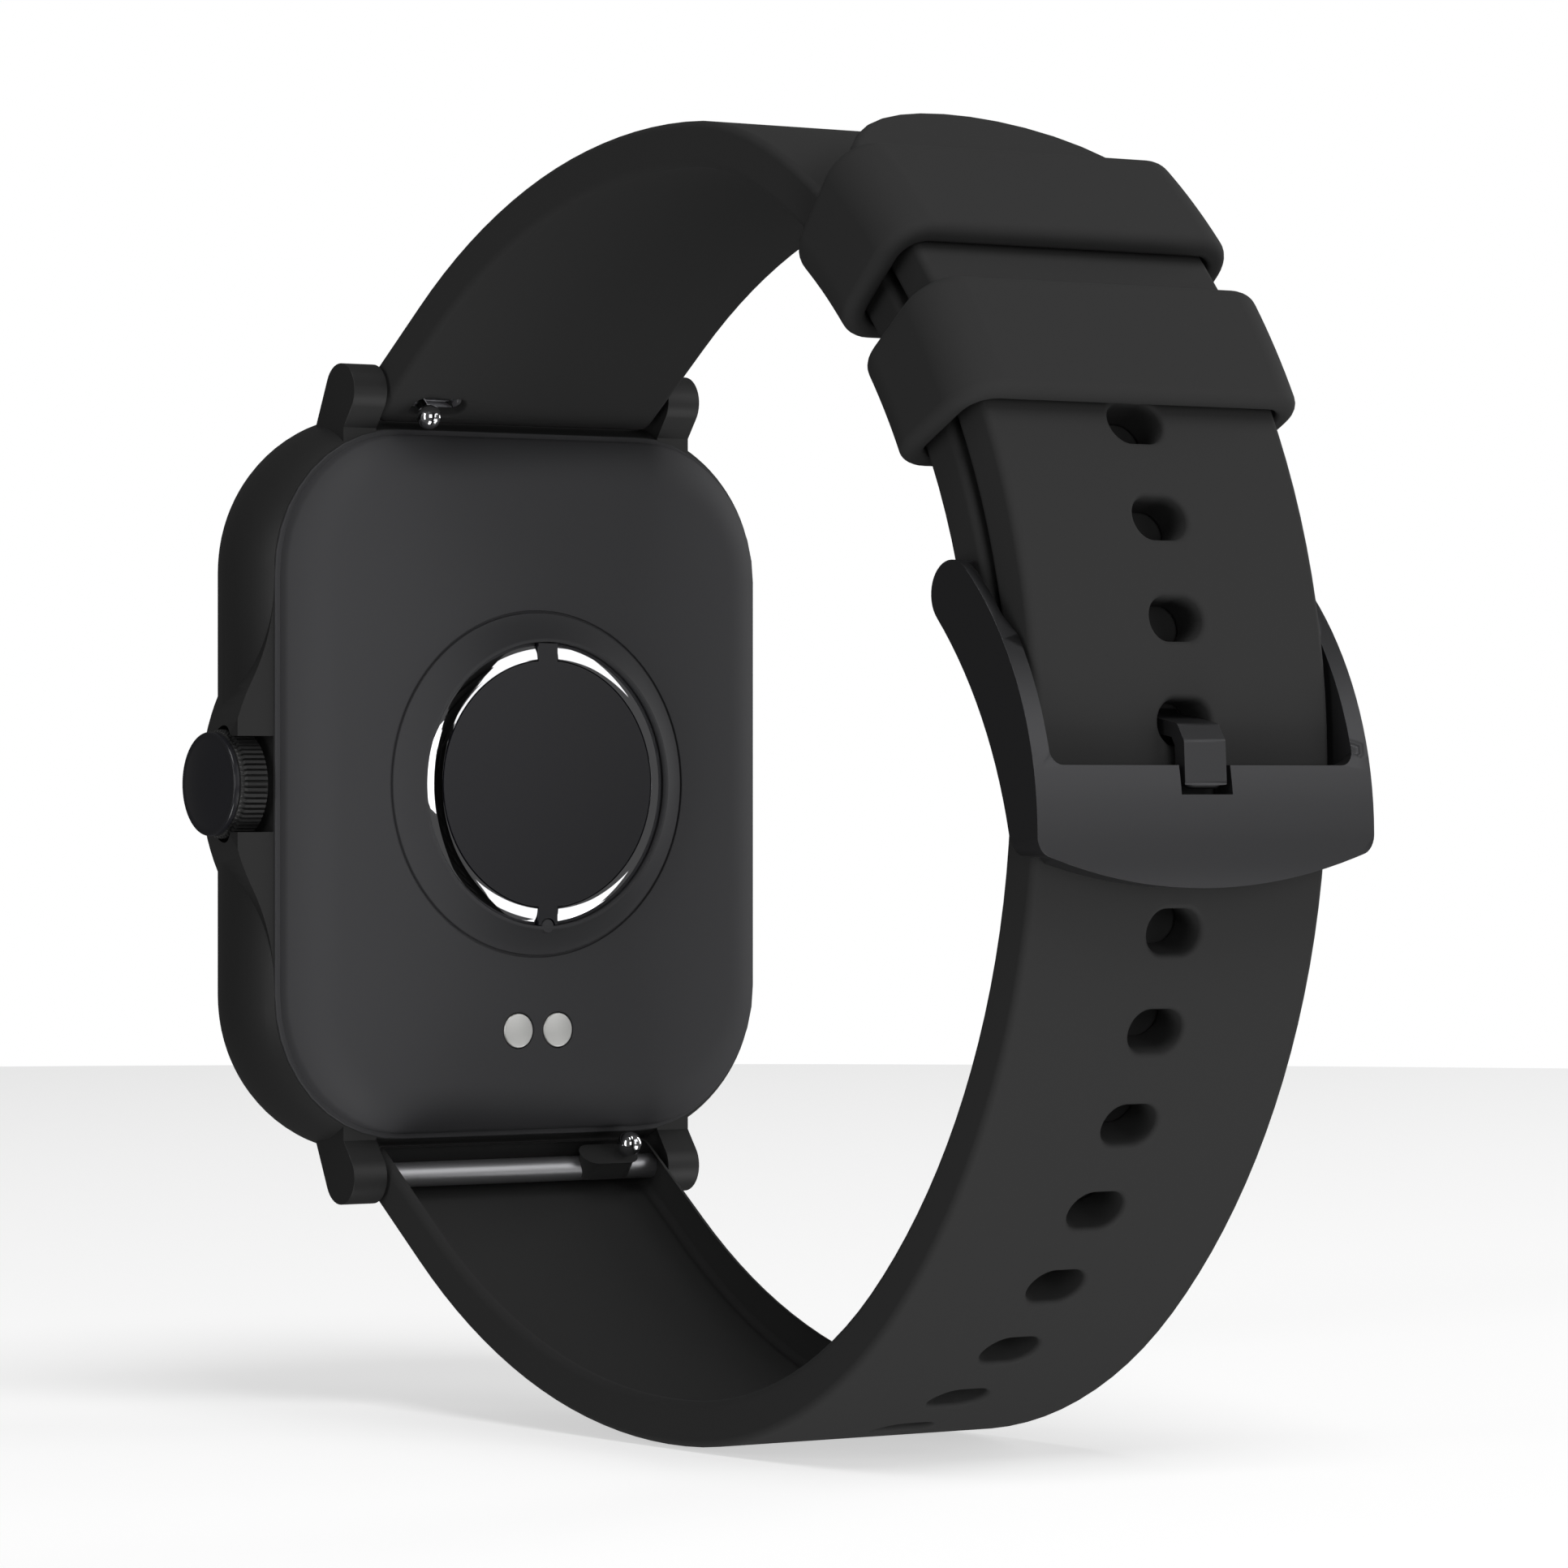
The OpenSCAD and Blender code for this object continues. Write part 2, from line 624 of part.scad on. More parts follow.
// Section of a lug in Y and Z, at the 12 o'clock end
module lug_section() {
    sunk = 1.2;
    root = [-lug_root, hz + side_reach(-lug_root) - sunk];
    base = [seam_y, hz + side_reach(seam_y) - sunk];
    foot = [seam_y, cover_z + cover_corner + 2 * hair];
    function touch(p, s) =
        let (v = p - bar_at)
        bar_at + lug_tip * dir(polar(v) + s * acos(lug_tip / norm(v)));
    translate(bar_at) circle(lug_tip);
    polygon([root, touch(root, -1), bar_at, touch(foot, 1), foot, base]);
}

module lug_pair() {
    for (s = [-1, 1])
        from_side() translate([0, 0, s * (lug_in + lug_w / 2)])
            linear_extrude(lug_w, center = true) lug_section();
}

// What is cut off the case's end to leave a flat between the lugs
module end_flat() {
    translate([-lug_in - lug_w / 2, frame_front - 1, case_h / 2 - end_drop])
        cube([2 * lug_in + lug_w, frame_depth + 2, 2 * end_drop]);
}

module case_frame() {
    color([0.09, 0.09, 0.095])
    difference() {
        union() {
            difference() {
                round_case(hx, hz, frame_front, seam_y) side_section(frame_front, seam_y);
                for (s = [0, 1]) mirror([0, 0, s]) end_flat();
            }
            crown_guard();
            lug_pair();
            mirror([0, 0, 1]) lug_pair();
        }
        slab(frame_front - eps, seam_y + eps) outline(hx, hz, cavity);
        slab(frame_front - eps, frame_front + adhesive_t) outline(hx, hz, cavity + adhesive_w + slack);
        slab(seam_y - gasket_w, seam_y + eps) difference() {
            outline(hx, hz, gasket_in + gasket_w);
            outline(hx, hz, gasket_in);
        }
        rod_x(slot_floor, guard_peak + 1, wheel_r + air);
        translate([slot_floor, crown_y, -slot_half]) cube([guard_peak, crown_depth, 2 * slot_half]);
        rod_x(wall_in - 1, slot_floor + eps, tube_r);
        for (z = [-1, 1]) pin_x([-bar_depth, z * bar_z], -tip_end - pin_room, tip_end + pin_room, tip_bore);
    }
}

module rear_cover() {
    color([0.15, 0.15, 0.155])
    difference() {
        union() {
            round_case(cover_x, cover_z, seam_y, 0) cover_section();
            slab(seam_y - lip_reach, seam_y) outline(cover_x, cover_z, lip_out);
            rotate([-90, 0, 0]) cylinder(h = mound_h, r1 = mound_foot, r2 = mound_top);
        }
        slab(seam_y - lip_reach - eps, skin_y) outline(cover_x, cover_z, lip_in);
        rod_y(0, 0, skin_y - eps, mound_h + eps, sensor_hole);
        difference() {
            rod_y(0, 0, ring_y, mound_h + eps, ring_ro + slack);
            index_tab(slack);
        }
        pad_rods(slack);
    }
}

// Section of the rear cover: its edge rolls from the seam into the flat
module cover_section() {
    intersection() {
        translate([0, seam_y]) square([cover_corner, seam_depth]);
        union() {
            translate([0, seam_y]) square([cover_corner - cover_roll, seam_depth]);
            translate([cover_corner - cover_roll, -cover_roll_r]) circle(cover_roll_r);
        }
    }
}

// The tab of the cover that keys the sensor glass, at the ring's lower gap
module index_tab(over) {
    rod_y(0, -ring_ro - slack, ring_y - eps, mound_h + over, index_r);
}

module rear_gasket() {
    color([0.05, 0.05, 0.05])
    slab(seam_y - gasket_w, seam_y) difference() {
        outline(hx, hz, gasket_in + gasket_w);
        outline(hx, hz, gasket_in);
    }
}

// ---------- display ----------

module display_glass() {
    reach = side_reach(frame_front) - glass_step;
    round = min(front_glass_round, front_glass_t);
    color([0.03, 0.03, 0.035])
    round_case(hx, hz, glass_front, frame_front) {
        union() {
            translate([0, glass_front]) square([reach - round, front_glass_t]);
            translate([0, glass_front + round]) square([reach, front_glass_t - round]);
            intersection() {
                translate([reach - round, glass_front + round]) circle(round);
                translate([reach - round, glass_front]) square(round);
            }
        }
    }
}

module glass_adhesive() {
    color([0.02, 0.02, 0.02])
    slab(frame_front, frame_front + adhesive_t) difference() {
        outline(hx, hz, cavity + adhesive_w);
        outline(hx, hz, cavity);
    }
}

module display_panel() {
    color([0.06, 0.07, 0.1])
    slab(panel_front, panel_back) outline(hx, hz, panel_reach);
}

module display_ribbon() {
    turn_z = inner_top + ribbon_room / 4;
    on_board = 1.6;
    on_panel = 0.4;
    color([0.75, 0.45, 0.12])
    from_side() linear_extrude(display_ribbon_w, center = true) {
        translate([board_back, turn_z - on_board]) square([ribbon_t, on_board + ribbon_t]);
        translate([panel_back, turn_z]) square([board_back - panel_back + ribbon_t, ribbon_t]);
        translate([panel_back, turn_z - on_panel]) square([slack, on_panel + ribbon_t]);
    }
}

// ---------- inside ----------

// X and Z of each board screw
screw_places = [[-12.4, 3], [-5.2, 17], [7.6, 16.6], [12.3, 9]];

module inner_chassis() {
    color([0.55, 0.56, 0.58])
    difference() {
        union() {
            slab(chassis_front, chassis_back) intersection() {
                outline(hx, hz, chassis_reach);
                square([case_w, 2 * inner_top], center = true);
            }
            for (p = screw_places) rod_y(p[0], p[1], chassis_back - eps, board_front, boss_r);
        }
        for (p = screw_places) rod_y(p[0], p[1], chassis_front - 1, board_front + 1, screw_r);
    }
}

// The board fills the upper half, with a tongue to the side switch and a notch for the crown's stem
module main_board() {
    board_low = 1;
    tongue_low = -3.2;
    notch_half = 2;
    color([0.05, 0.25, 0.14])
    difference() {
        slab(board_front, board_back) intersection() {
            outline(hx, hz, chassis_reach);
            union() {
                translate([-case_w / 2, board_low]) square([case_w, inner_top - board_low]);
                translate([switch_in - 0.4, tongue_low])
                    square([stem_in - switch_in + 1, board_low - tongue_low + 0.1]);
            }
        }
        for (p = screw_places) rod_y(p[0], p[1], board_front - 1, board_back + 1, screw_r + 0.1);
        translate([clip_in - 0.3, board_front - 1, -notch_half])
            cube([case_w, board_t + 2, 2 * notch_half]);
    }
}

// X and Z of the shield's middle
shield_mid = [0.9, 6.6];
// Each chip's X, Z, width and height
chip_sizes = [[-2.2, 6.6, 5.6, 5.6], [4.4, 6.6, 4.6, 5.2], [9.6, 5.9, 2.4, 2.4], [0, 12.6, 3.2, 2.2]];

module board_chips() {
    chip_t = 0.9;
    color([0.08, 0.08, 0.09])
    for (c = chip_sizes) translate([c[0] - c[2] / 2, board_back, c[1] - c[3] / 2])
        cube([c[2], chip_t, c[3]]);
}

module board_shield() {
    wall = 0.2;
    size = [shield_w, shield_t, shield_h];
    color([0.7, 0.7, 0.72])
    translate([shield_mid[0] - shield_w / 2, board_back, shield_mid[1] - shield_h / 2]) difference() {
        cube(size);
        translate([wall, -eps, wall]) cube(size - [2 * wall, wall - eps, 2 * wall]);
    }
}

module board_screws() {
    slot = [1.1, 0.4, 0.22];
    color([0.6, 0.6, 0.62])
    for (p = screw_places) {
        rod_y(p[0], p[1], chassis_front, board_back + eps, screw_r);
        difference() {
            rod_y(p[0], p[1], board_back, board_back + screw_head_h, screw_head_r);
            for (a = [0, 90]) translate([p[0], board_back + screw_head_h, p[1]]) rotate([0, a, 0])
                cube(slot, center = true);
        }
    }
}

battery_at = [-hx - 4.3, chassis_back + battery_pad_t, -hz - 4.4];

module battery() {
    color([0.7, 0.72, 0.75])
    translate(battery_at) cube([battery_w, battery_t, battery_h]);
}

module battery_pad() {
    inset = 1;
    color([0.9, 0.85, 0.3])
    translate(battery_at + [inset, -battery_pad_t, inset])
        cube([battery_w - 2 * inset, battery_pad_t, battery_h - 2 * inset]);
}

module vibration_motor() {
    past_corner = [1.6, 1.75];
    color([0.75, 0.75, 0.77])
    rod_y(-hx - past_corner[0], hz + past_corner[1], board_back, board_back + motor_t, motor_r);
}

// ---------- sensor ----------

module sensor_board() {
    color([0.05, 0.22, 0.12])
    rod_y(0, 0, sensor_board_y, skin_y, sensor_board_r);
}

module light_rods(over) {
    for (s = [-1, 1]) rod_y(0, s * led_off, skin_y, skin_y + led_t + over, led_r + over);
}

module diode_blocks(over) {
    for (s = [-1, 1]) translate([s * (diode_gap + diode_w) / 2, skin_y + (led_t + over) / 2, 0])
        cube([diode_w + 2 * over, led_t + over, diode_h + 2 * over], center = true);
}

module sensor_lights() {
    color([0.3, 0.35, 0.3]) light_rods(0);
}

module light_detectors() {
    color([0.2, 0.2, 0.22]) diode_blocks(0);
}

module light_barrier() {
    color([0.02, 0.02, 0.02])
    difference() {
        rod_y(0, 0, skin_y, ring_y - slack, sensor_hole - slack);
        translate([0, -eps, 0]) for (s = [-1, 1])
            rod_y(0, s * led_off, skin_y - 1, ring_y + 1, led_r + slack);
        translate([-diode_gap / 2 - diode_w - slack, skin_y - 1, -diode_h / 2 - slack])
            cube([diode_gap + 2 * diode_w + 2 * slack, ring_y - skin_y + 2, diode_h + 2 * slack]);
    }
}

module sensor_ribbon() {
    past_sensor = 2.4;
    on_sensor = 2;
    on_board = 1.6;
    bend_z = sensor_board_r + past_sensor;
    color([0.75, 0.45, 0.12])
    translate([ribbon_w * 0.9, 0, 0]) from_side() linear_extrude(ribbon_w, center = true) {
        translate([sensor_board_y - ribbon_t, sensor_board_r - on_sensor])
            square([ribbon_t, past_sensor + on_sensor]);
        translate([board_back, bend_z]) square([sensor_board_y - board_back, ribbon_t]);
        translate([board_back, bend_z]) square([ribbon_t, on_board]);
    }
}

module sensor_glass() {
    tab_w = ring_gap - 2 * slack;
    color([0.01, 0.01, 0.012])
    difference() {
        slab(ring_y, mound_h) {
            circle(ring_ri - slack);
            square([tab_w, 2 * ring_ro - slack], center = true);
        }
        rod_y(0, -ring_ro - slack, ring_y - 1, mound_h + 1, index_r + slack);
    }
}

module sensor_ring() {
    color([0.85, 0.85, 0.87])
    for (s = [0, 180]) rotate([0, s, 0]) slab(ring_y, mound_h) difference() {
        intersection() {
            circle(ring_ro);
            translate([ring_gap / 2, -ring_ro]) square([ring_ro, 2 * ring_ro]);
        }
        circle(ring_ri);
    }
}

// ---------- charging ----------

module pad_rods(over) {
    for (s = [-1, 1]) rod_y(s * pad_pitch / 2, -pad_drop, -pad_l, over, pad_r + over);
}

module charging_pads() {
    color([0.93, 0.93, 0.92])
    for (s = [-1, 1]) rod_y(s * pad_pitch / 2, -pad_drop, -pad_l, 0, pad_r);
}

module charging_magnets() {
    color([0.6, 0.6, 0.63])
    for (s = [-1, 1]) rod_y(s * magnet_pitch / 2, -pad_drop, skin_y - magnet_t, skin_y, magnet_r);
}

// ---------- crown and its switch ----------

module side_switch() {
    color([0.2, 0.2, 0.2])
    difference() {
        translate([switch_in, board_back, -switch_w / 2])
            cube([switch_l, 2 * (crown_y - board_back), switch_w]);
        rod_x(plunger_in - crown_travel - slack, switch_out + 1, plunger_r + running);
    }
}

module switch_plunger() {
    color([0.8, 0.8, 0.8]) rod_x(plunger_in, plunger_out, plunger_r);
}

module crown_tube() {
    color([0.6, 0.6, 0.62])
    difference() {
        union() {
            rod_x(wall_in - eps, slot_floor, tube_r);
            rod_x(tube_in, wall_in, tube_flange_r);
        }
        rod_x(tube_in - 1, slot_floor + 1, tube_bore);
    }
}

module crown_clip() {
    color([0.5, 0.5, 0.52])
    difference() {
        rod_x(clip_in, clip_out, clip_r);
        rod_x(clip_in - 1, clip_out + 1, neck_r + running);
    }
}

module crown_seal() {
    color([0.1, 0.05, 0.05])
    translate([seal_x, crown_y, 0]) rotate([0, 90, 0])
        rotate_extrude() translate([seal_mid, 0]) circle(seal_r);
}

module crown_spring() {
    color([0.7, 0.7, 0.7])
    translate([slot_floor + hair, crown_y, 0]) rotate([0, 90, 0])
        coil(crown_coil_r, crown_wire_r, 3, wheel_in + wheel_recess_l - slot_floor - 2 * hair);
}

module crown_stem() {
    color([0.65, 0.65, 0.67])
    difference() {
        rod_x(stem_in, stem_out, stem_r);
        stem_groove(clip_in - slack / 2, clip_out + slack / 2, neck_r);
        stem_groove(seal_x - 2 * seal_r, seal_x + 2 * seal_r, seal_mid - seal_r - hair);
    }
}

// A groove turned into the stem between two places along it
module stem_groove(x0, x1, r) {
    difference() {
        rod_x(x0, x1, stem_r + 1);
        rod_x(x0 - 1, x1 + 1, r);
    }
}

module crown_wheel() {
    color([0.1, 0.1, 0.105])
    difference() {
        translate([wheel_in, crown_y, 0]) rotate([0, 90, 0]) linear_extrude(wheel_l) knurl_outline();
        rod_x(wheel_in - 1, wheel_in + wheel_recess_l, wheel_recess);
        rod_x(wheel_in, wheel_out + 1, stem_r);
        rod_x(cap_back - cap_socket, cap_back + 1, cap_plug_r);
    }
}

module knurl_outline() {
    half = 360 / knurl_teeth * 0.32;
    inner = wheel_r - knurl_depth;
    difference() {
        circle(wheel_r);
        for (k = [1 : knurl_teeth]) rotate(k * 360 / knurl_teeth)
            polygon([inner * dir(0), (wheel_r + 0.1) * dir(half), (wheel_r + 0.1) * dir(-half)]);
    }
}

module crown_cap() {
    dome_r = (pow(cap_r, 2) + pow(cap_dome, 2)) / (2 * cap_dome);
    color([0.06, 0.06, 0.065])
    translate([cap_back, crown_y, 0]) rotate([0, 90, 0]) rotate_extrude() {
        translate([0, -cap_socket]) square([cap_plug_r - slack, cap_socket]);
        square([cap_r, cap_edge]);
        intersection() {
            translate([0, cap_edge]) square([cap_r, cap_dome]);
            translate([0, cap_edge + cap_dome - dome_r]) circle(dome_r, $fn = 180);
        }
    }
}

// ---------- spring bars ----------

// The tube of a spring bar at the 12 o'clock end, with the fixed end pin at -X
module bar_tube() {
    bore_in = bar_spring_out - bar_spring_l;
    difference() {
        union() {
            pin_x(bar_at, -bar_half, bar_half, bar_r);
            pin_x(bar_at, -tip_end, -bar_half + eps, tip_r);
        }
        pin_x(bar_at, bore_in, bar_half + 1, tip_bore);
        translate([knob_x - knob_travel - knob_slot, bar_at[0], bar_at[1]]) rotate([-knob_angle, 0, 0])
            translate([0, 0, -knob_slot]) cube([knob_travel + 2 * knob_slot, 2, 2 * knob_slot]);
    }
}

// The sliding end pin with its stem and knob
module release_pin() {
    pin_x(bar_at, bar_spring_out, tip_end, tip_r);
    translate([knob_x, bar_at[0], bar_at[1]]) rotate([-knob_angle, 0, 0]) {
        rotate([-90, 0, 0]) cylinder(h = knob_off, r = knob_stem_r);
        translate([0, knob_off, 0]) sphere(knob_r);
    }
}

module bar_spring() {
    translate([bar_spring_out - bar_spring_l, bar_at[0], bar_at[1]]) rotate([0, 90, 0])
        coil(tip_r - bar_wire_r, bar_wire_r, 12, bar_spring_l);
}

// Puts a piece of the 12 o'clock spring bar at the 6 o'clock end, turned half round
module at_six() {
    mirror([1, 0, 0]) mirror([0, 0, 1]) children();
}

module bar_tube_upper() { color([0.62, 0.62, 0.64]) bar_tube(); }
module bar_tube_lower() { color([0.62, 0.62, 0.64]) at_six() bar_tube(); }
module release_pin_upper() { color([0.8, 0.8, 0.82]) release_pin(); }
module release_pin_lower() { color([0.8, 0.8, 0.82]) at_six() release_pin(); }
module bar_spring_upper() { color([0.7, 0.7, 0.7]) bar_spring(); }
module bar_spring_lower() { color([0.7, 0.7, 0.7]) at_six() bar_spring(); }

// ---------- straps ----------

module strap_section(less = 0) {
    round_rect(strap_t - less, strap_w - less, strap_edge);
}

// A bend of strap about a centre, between two angles
module bend(at, r, a0, a1, less = 0) {
    translate(at) rotate_extrude(angle = a1 - a0, start = a0) translate([r, 0]) strap_section(less);
}

// The strap from its lug to an angle on the clasp end's bend, made in (Y, Z, X).
// The straight and the second bend are a hair thinner and run on into their neighbours.
module strap_run(centre, r, to) {
    from = polar(second_at(r, centre) - centre);
    translate(bar_at) rotate(leave_angle) rotate([90, 0, 90])
        linear_extrude(straight_l + lap) strap_section(hair);
    bend(first_at, first_bend_r, second_head + 90, leave_angle + 90);
    bend(second_at(r, centre), second_r(r, centre), from - lap, second_head + 90 + lap, hair);
    bend(centre, r, to, from);
    translate(bar_at) linear_extrude(strap_w, center = true) circle(strap_roll);
}

// The room for a spring bar and its knob in a strap's rolled end
module bar_room(side) {
    room = knob_stem_r + 0.4;
    linear_extrude(strap_w + 2, center = true) translate(bar_at) circle(bar_r + running);
    translate([bar_at[0], bar_at[1], side * (knob_x - knob_travel / 2)]) rotate(-knob_angle)
        translate([0, -room, -knob_travel / 2 - room]) cube([4, 2 * room, knob_travel + 2 * room]);
}

module buckle_strap() {
    slot_half_w = tongue_w / 2 + air;
    color([0.12, 0.12, 0.12])
    from_side() difference() {
        union() {
            strap_run(loop_at, inner_r, buckle_bar_at);
            translate(clasp_at) linear_extrude(strap_w, center = true) circle(clasp_roll);
        }
        bar_room(1);
        translate(clasp_at) linear_extrude(strap_w + 2, center = true) circle(buckle_bar_r + running);
        translate(clasp_at) rotate(buckle_bar_at)
            translate([-3, -3, -slot_half_w]) cube([6, 3 + tongue_eye + air + 1.6, 2 * slot_half_w]);
    }
}

// A slotted hole through the strap at a place on one of its bends
module strap_hole(place) {
    translate(place[0]) rotate(place[2]) translate([place[1] - strap_t, 0, 0]) rotate([90, 0, 90])
        linear_extrude(2 * strap_t) {
            square([hole_w, hole_l - hole_w], center = true);
            for (s = [-1, 1]) translate([0, s * (hole_l - hole_w) / 2]) circle(hole_w / 2);
        }
}

module hole_strap() {
    color([0.13, 0.13, 0.13])
    mirror([0, 0, 1]) from_side() difference() {
        union() {
            strap_run(lower_loop_at, outer_r, -tip_at);
            intersection() {
                bend(lower_loop_at, outer_r, -tip_at - 22, -tip_at);
                translate(lower_loop_at) rotate(-tip_at) translate([outer_r - 12, 0, 0])
                    rotate([0, 90, 0]) cylinder(h = 20, r = tip_plan_r);
            }
        }
        bar_room(-1);
        for (k = [-holes_to_tip : holes_to_case]) strap_hole(hole_place(k));
    }
}

// ---------- keepers ----------

module keeper(at) {
    mid = (keeper_in_r + keeper_out_r) / 2;
    room = keeper_out_r - keeper_in_r;
    color([0.13, 0.13, 0.13])
    from_side() translate(loop_at) rotate_extrude(angle = keeper_sweep, start = at - keeper_sweep / 2)
        translate([mid, 0]) difference() {
            round_rect(room + 2 * keeper_wall, 2 * keeper_half, keeper_round);
            round_rect(room, 2 * (keeper_half - keeper_side), keeper_round - keeper_wall);
        }
}

module keeper_upper() { keeper(keeper_upper_at); }
module keeper_lower() { keeper(keeper_lower_at); }

// ---------- buckle ----------

module buckle_bar() {
    color([0.4, 0.4, 0.42]) {
        pin_x(clasp_at, -buckle_bar_half, buckle_bar_half, buckle_bar_r);
        for (s = [-1, 1]) pin_x(clasp_at, min(s * buckle_bar_end, s * (buckle_bar_half - 1)),
            max(s * buckle_bar_end, s * (buckle_bar_half - 1)), buckle_bar_tip_r);
    }
}

// Section of an arm in Y and Z: a crescent from the ear to the front plate
module arm_section() {
    translate(clasp_at) circle(ear_r);
    difference() {
        intersection() {
            translate(arm_outer_at) circle(arm_outer_r, $fn = 180);
            polygon([clasp_at, arm_outer_at + 1.5 * arm_outer_r * dir(polar(clasp_at - arm_outer_at)),
                clasp_at + [16, 0], clasp_at + [16, -20], clasp_at + [-1, -20],
                arm_inner_at + (arm_inner_r - 3) * dir(polar(clasp_at - arm_inner_at))]);
        }
        translate(arm_inner_at) circle(arm_inner_r, $fn = 180);
    }
}

// Section of the front plate in Y and Z: clear of the strap inside, the arms' curve outside
module plate_section() {
    difference() {
        intersection() {
            translate(arm_outer_at) circle(arm_outer_r, $fn = 180);
            translate([loop_y, -plate_bottom - 1]) square([60, plate_top + plate_bottom + 1]);
        }
        translate(loop_at) circle(plate_in_r, $fn = 180);
    }
}

module buckle_frame() {
    color([0.2, 0.2, 0.21])
    difference() {
        intersection() {
            from_side() {
                for (s = [-1, 1]) translate([0, 0, s * (window_half + buckle_half) / 2])
                    linear_extrude(buckle_half - window_half, center = true) arm_section();
                linear_extrude(2 * window_half + 0.2, center = true) plate_section();
            }
            rod_y(0, plate_curve - plate_bottom, loop_y, loop_y + 60, plate_curve);
        }
        pin_x(clasp_at, -buckle_bar_end - pin_room, buckle_bar_end + pin_room, buckle_bar_tip_r + running);
        translate([-notch_w / 2, 0, 0]) from_side() linear_extrude(notch_w) intersection() {
            translate(clasp_at) circle(notch_from_bar, $fn = 180);
            translate(clasp_at + [0, -notch_from_bar]) square([notch_from_bar, notch_from_bar]);
        }
    }
}

module buckle_tongue() {
    color([0.18, 0.18, 0.19])
    from_side() difference() {
        linear_extrude(tongue_w, center = true) {
            translate(clasp_at) circle(tongue_eye);
            for (k = [0 : len(tongue_path) - 2]) strip(tongue_path[k], tongue_path[k + 1], tongue_t);
        }
        linear_extrude(tongue_w + 1, center = true) translate(clasp_at) circle(buckle_bar_r + running);
    }
}

// ---------- output ----------

case_frame();
rear_cover();
rear_gasket();
display_glass();
glass_adhesive();
display_panel();
display_ribbon();
inner_chassis();
main_board();
board_chips();
board_shield();
board_screws();
battery();
battery_pad();
vibration_motor();
sensor_board();
sensor_lights();
light_detectors();
light_barrier();
sensor_ribbon();
sensor_glass();
sensor_ring();
charging_pads();
charging_magnets();
side_switch();
switch_plunger();
crown_tube();
crown_clip();
crown_seal();
crown_spring();
crown_stem();
crown_wheel();
crown_cap();
bar_tube_upper();
bar_tube_lower();
release_pin_upper();
release_pin_lower();
bar_spring_upper();
bar_spring_lower();
buckle_strap();
hole_strap();
keeper_upper();
keeper_lower();
buckle_bar();
buckle_frame();
buckle_tongue();
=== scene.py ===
"""Looks of a smartwatch whose strap is buckled into a loop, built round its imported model.

+X points to the crown, +Y out of the case back towards the wrist, and +Z to 12 o'clock.
Forms are made in millimetres and become metres when they are finished.
"""

import logging
import math
from collections.abc import Callable, Sequence
from dataclasses import dataclass, field
from enum import Enum

import bmesh
import bpy
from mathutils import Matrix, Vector


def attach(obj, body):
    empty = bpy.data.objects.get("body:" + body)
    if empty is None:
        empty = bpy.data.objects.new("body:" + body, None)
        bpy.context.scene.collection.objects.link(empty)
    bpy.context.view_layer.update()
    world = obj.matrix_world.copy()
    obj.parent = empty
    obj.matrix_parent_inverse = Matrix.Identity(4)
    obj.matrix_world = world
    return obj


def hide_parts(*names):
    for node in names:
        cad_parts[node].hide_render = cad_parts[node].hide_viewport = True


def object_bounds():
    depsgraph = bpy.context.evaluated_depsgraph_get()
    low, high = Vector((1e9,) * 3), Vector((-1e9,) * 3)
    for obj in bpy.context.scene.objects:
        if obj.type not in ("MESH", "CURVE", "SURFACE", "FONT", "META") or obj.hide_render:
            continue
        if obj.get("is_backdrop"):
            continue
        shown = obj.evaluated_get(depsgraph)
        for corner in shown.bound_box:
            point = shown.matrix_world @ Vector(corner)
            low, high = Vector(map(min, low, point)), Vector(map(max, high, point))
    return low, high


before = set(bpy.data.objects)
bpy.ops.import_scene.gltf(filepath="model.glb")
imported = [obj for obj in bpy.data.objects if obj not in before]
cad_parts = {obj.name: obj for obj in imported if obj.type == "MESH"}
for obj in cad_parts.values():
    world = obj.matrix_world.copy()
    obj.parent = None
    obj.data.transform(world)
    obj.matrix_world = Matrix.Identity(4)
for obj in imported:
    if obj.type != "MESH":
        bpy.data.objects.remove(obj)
LOG = logging.getLogger("smartwatch")
MM = 0.001


def direction(degrees: float) -> Vector:
    """Unit vector in a plane at an angle from its first axis."""
    return Vector((math.cos(math.radians(degrees)), math.sin(math.radians(degrees))))


# ---------- shader building ----------


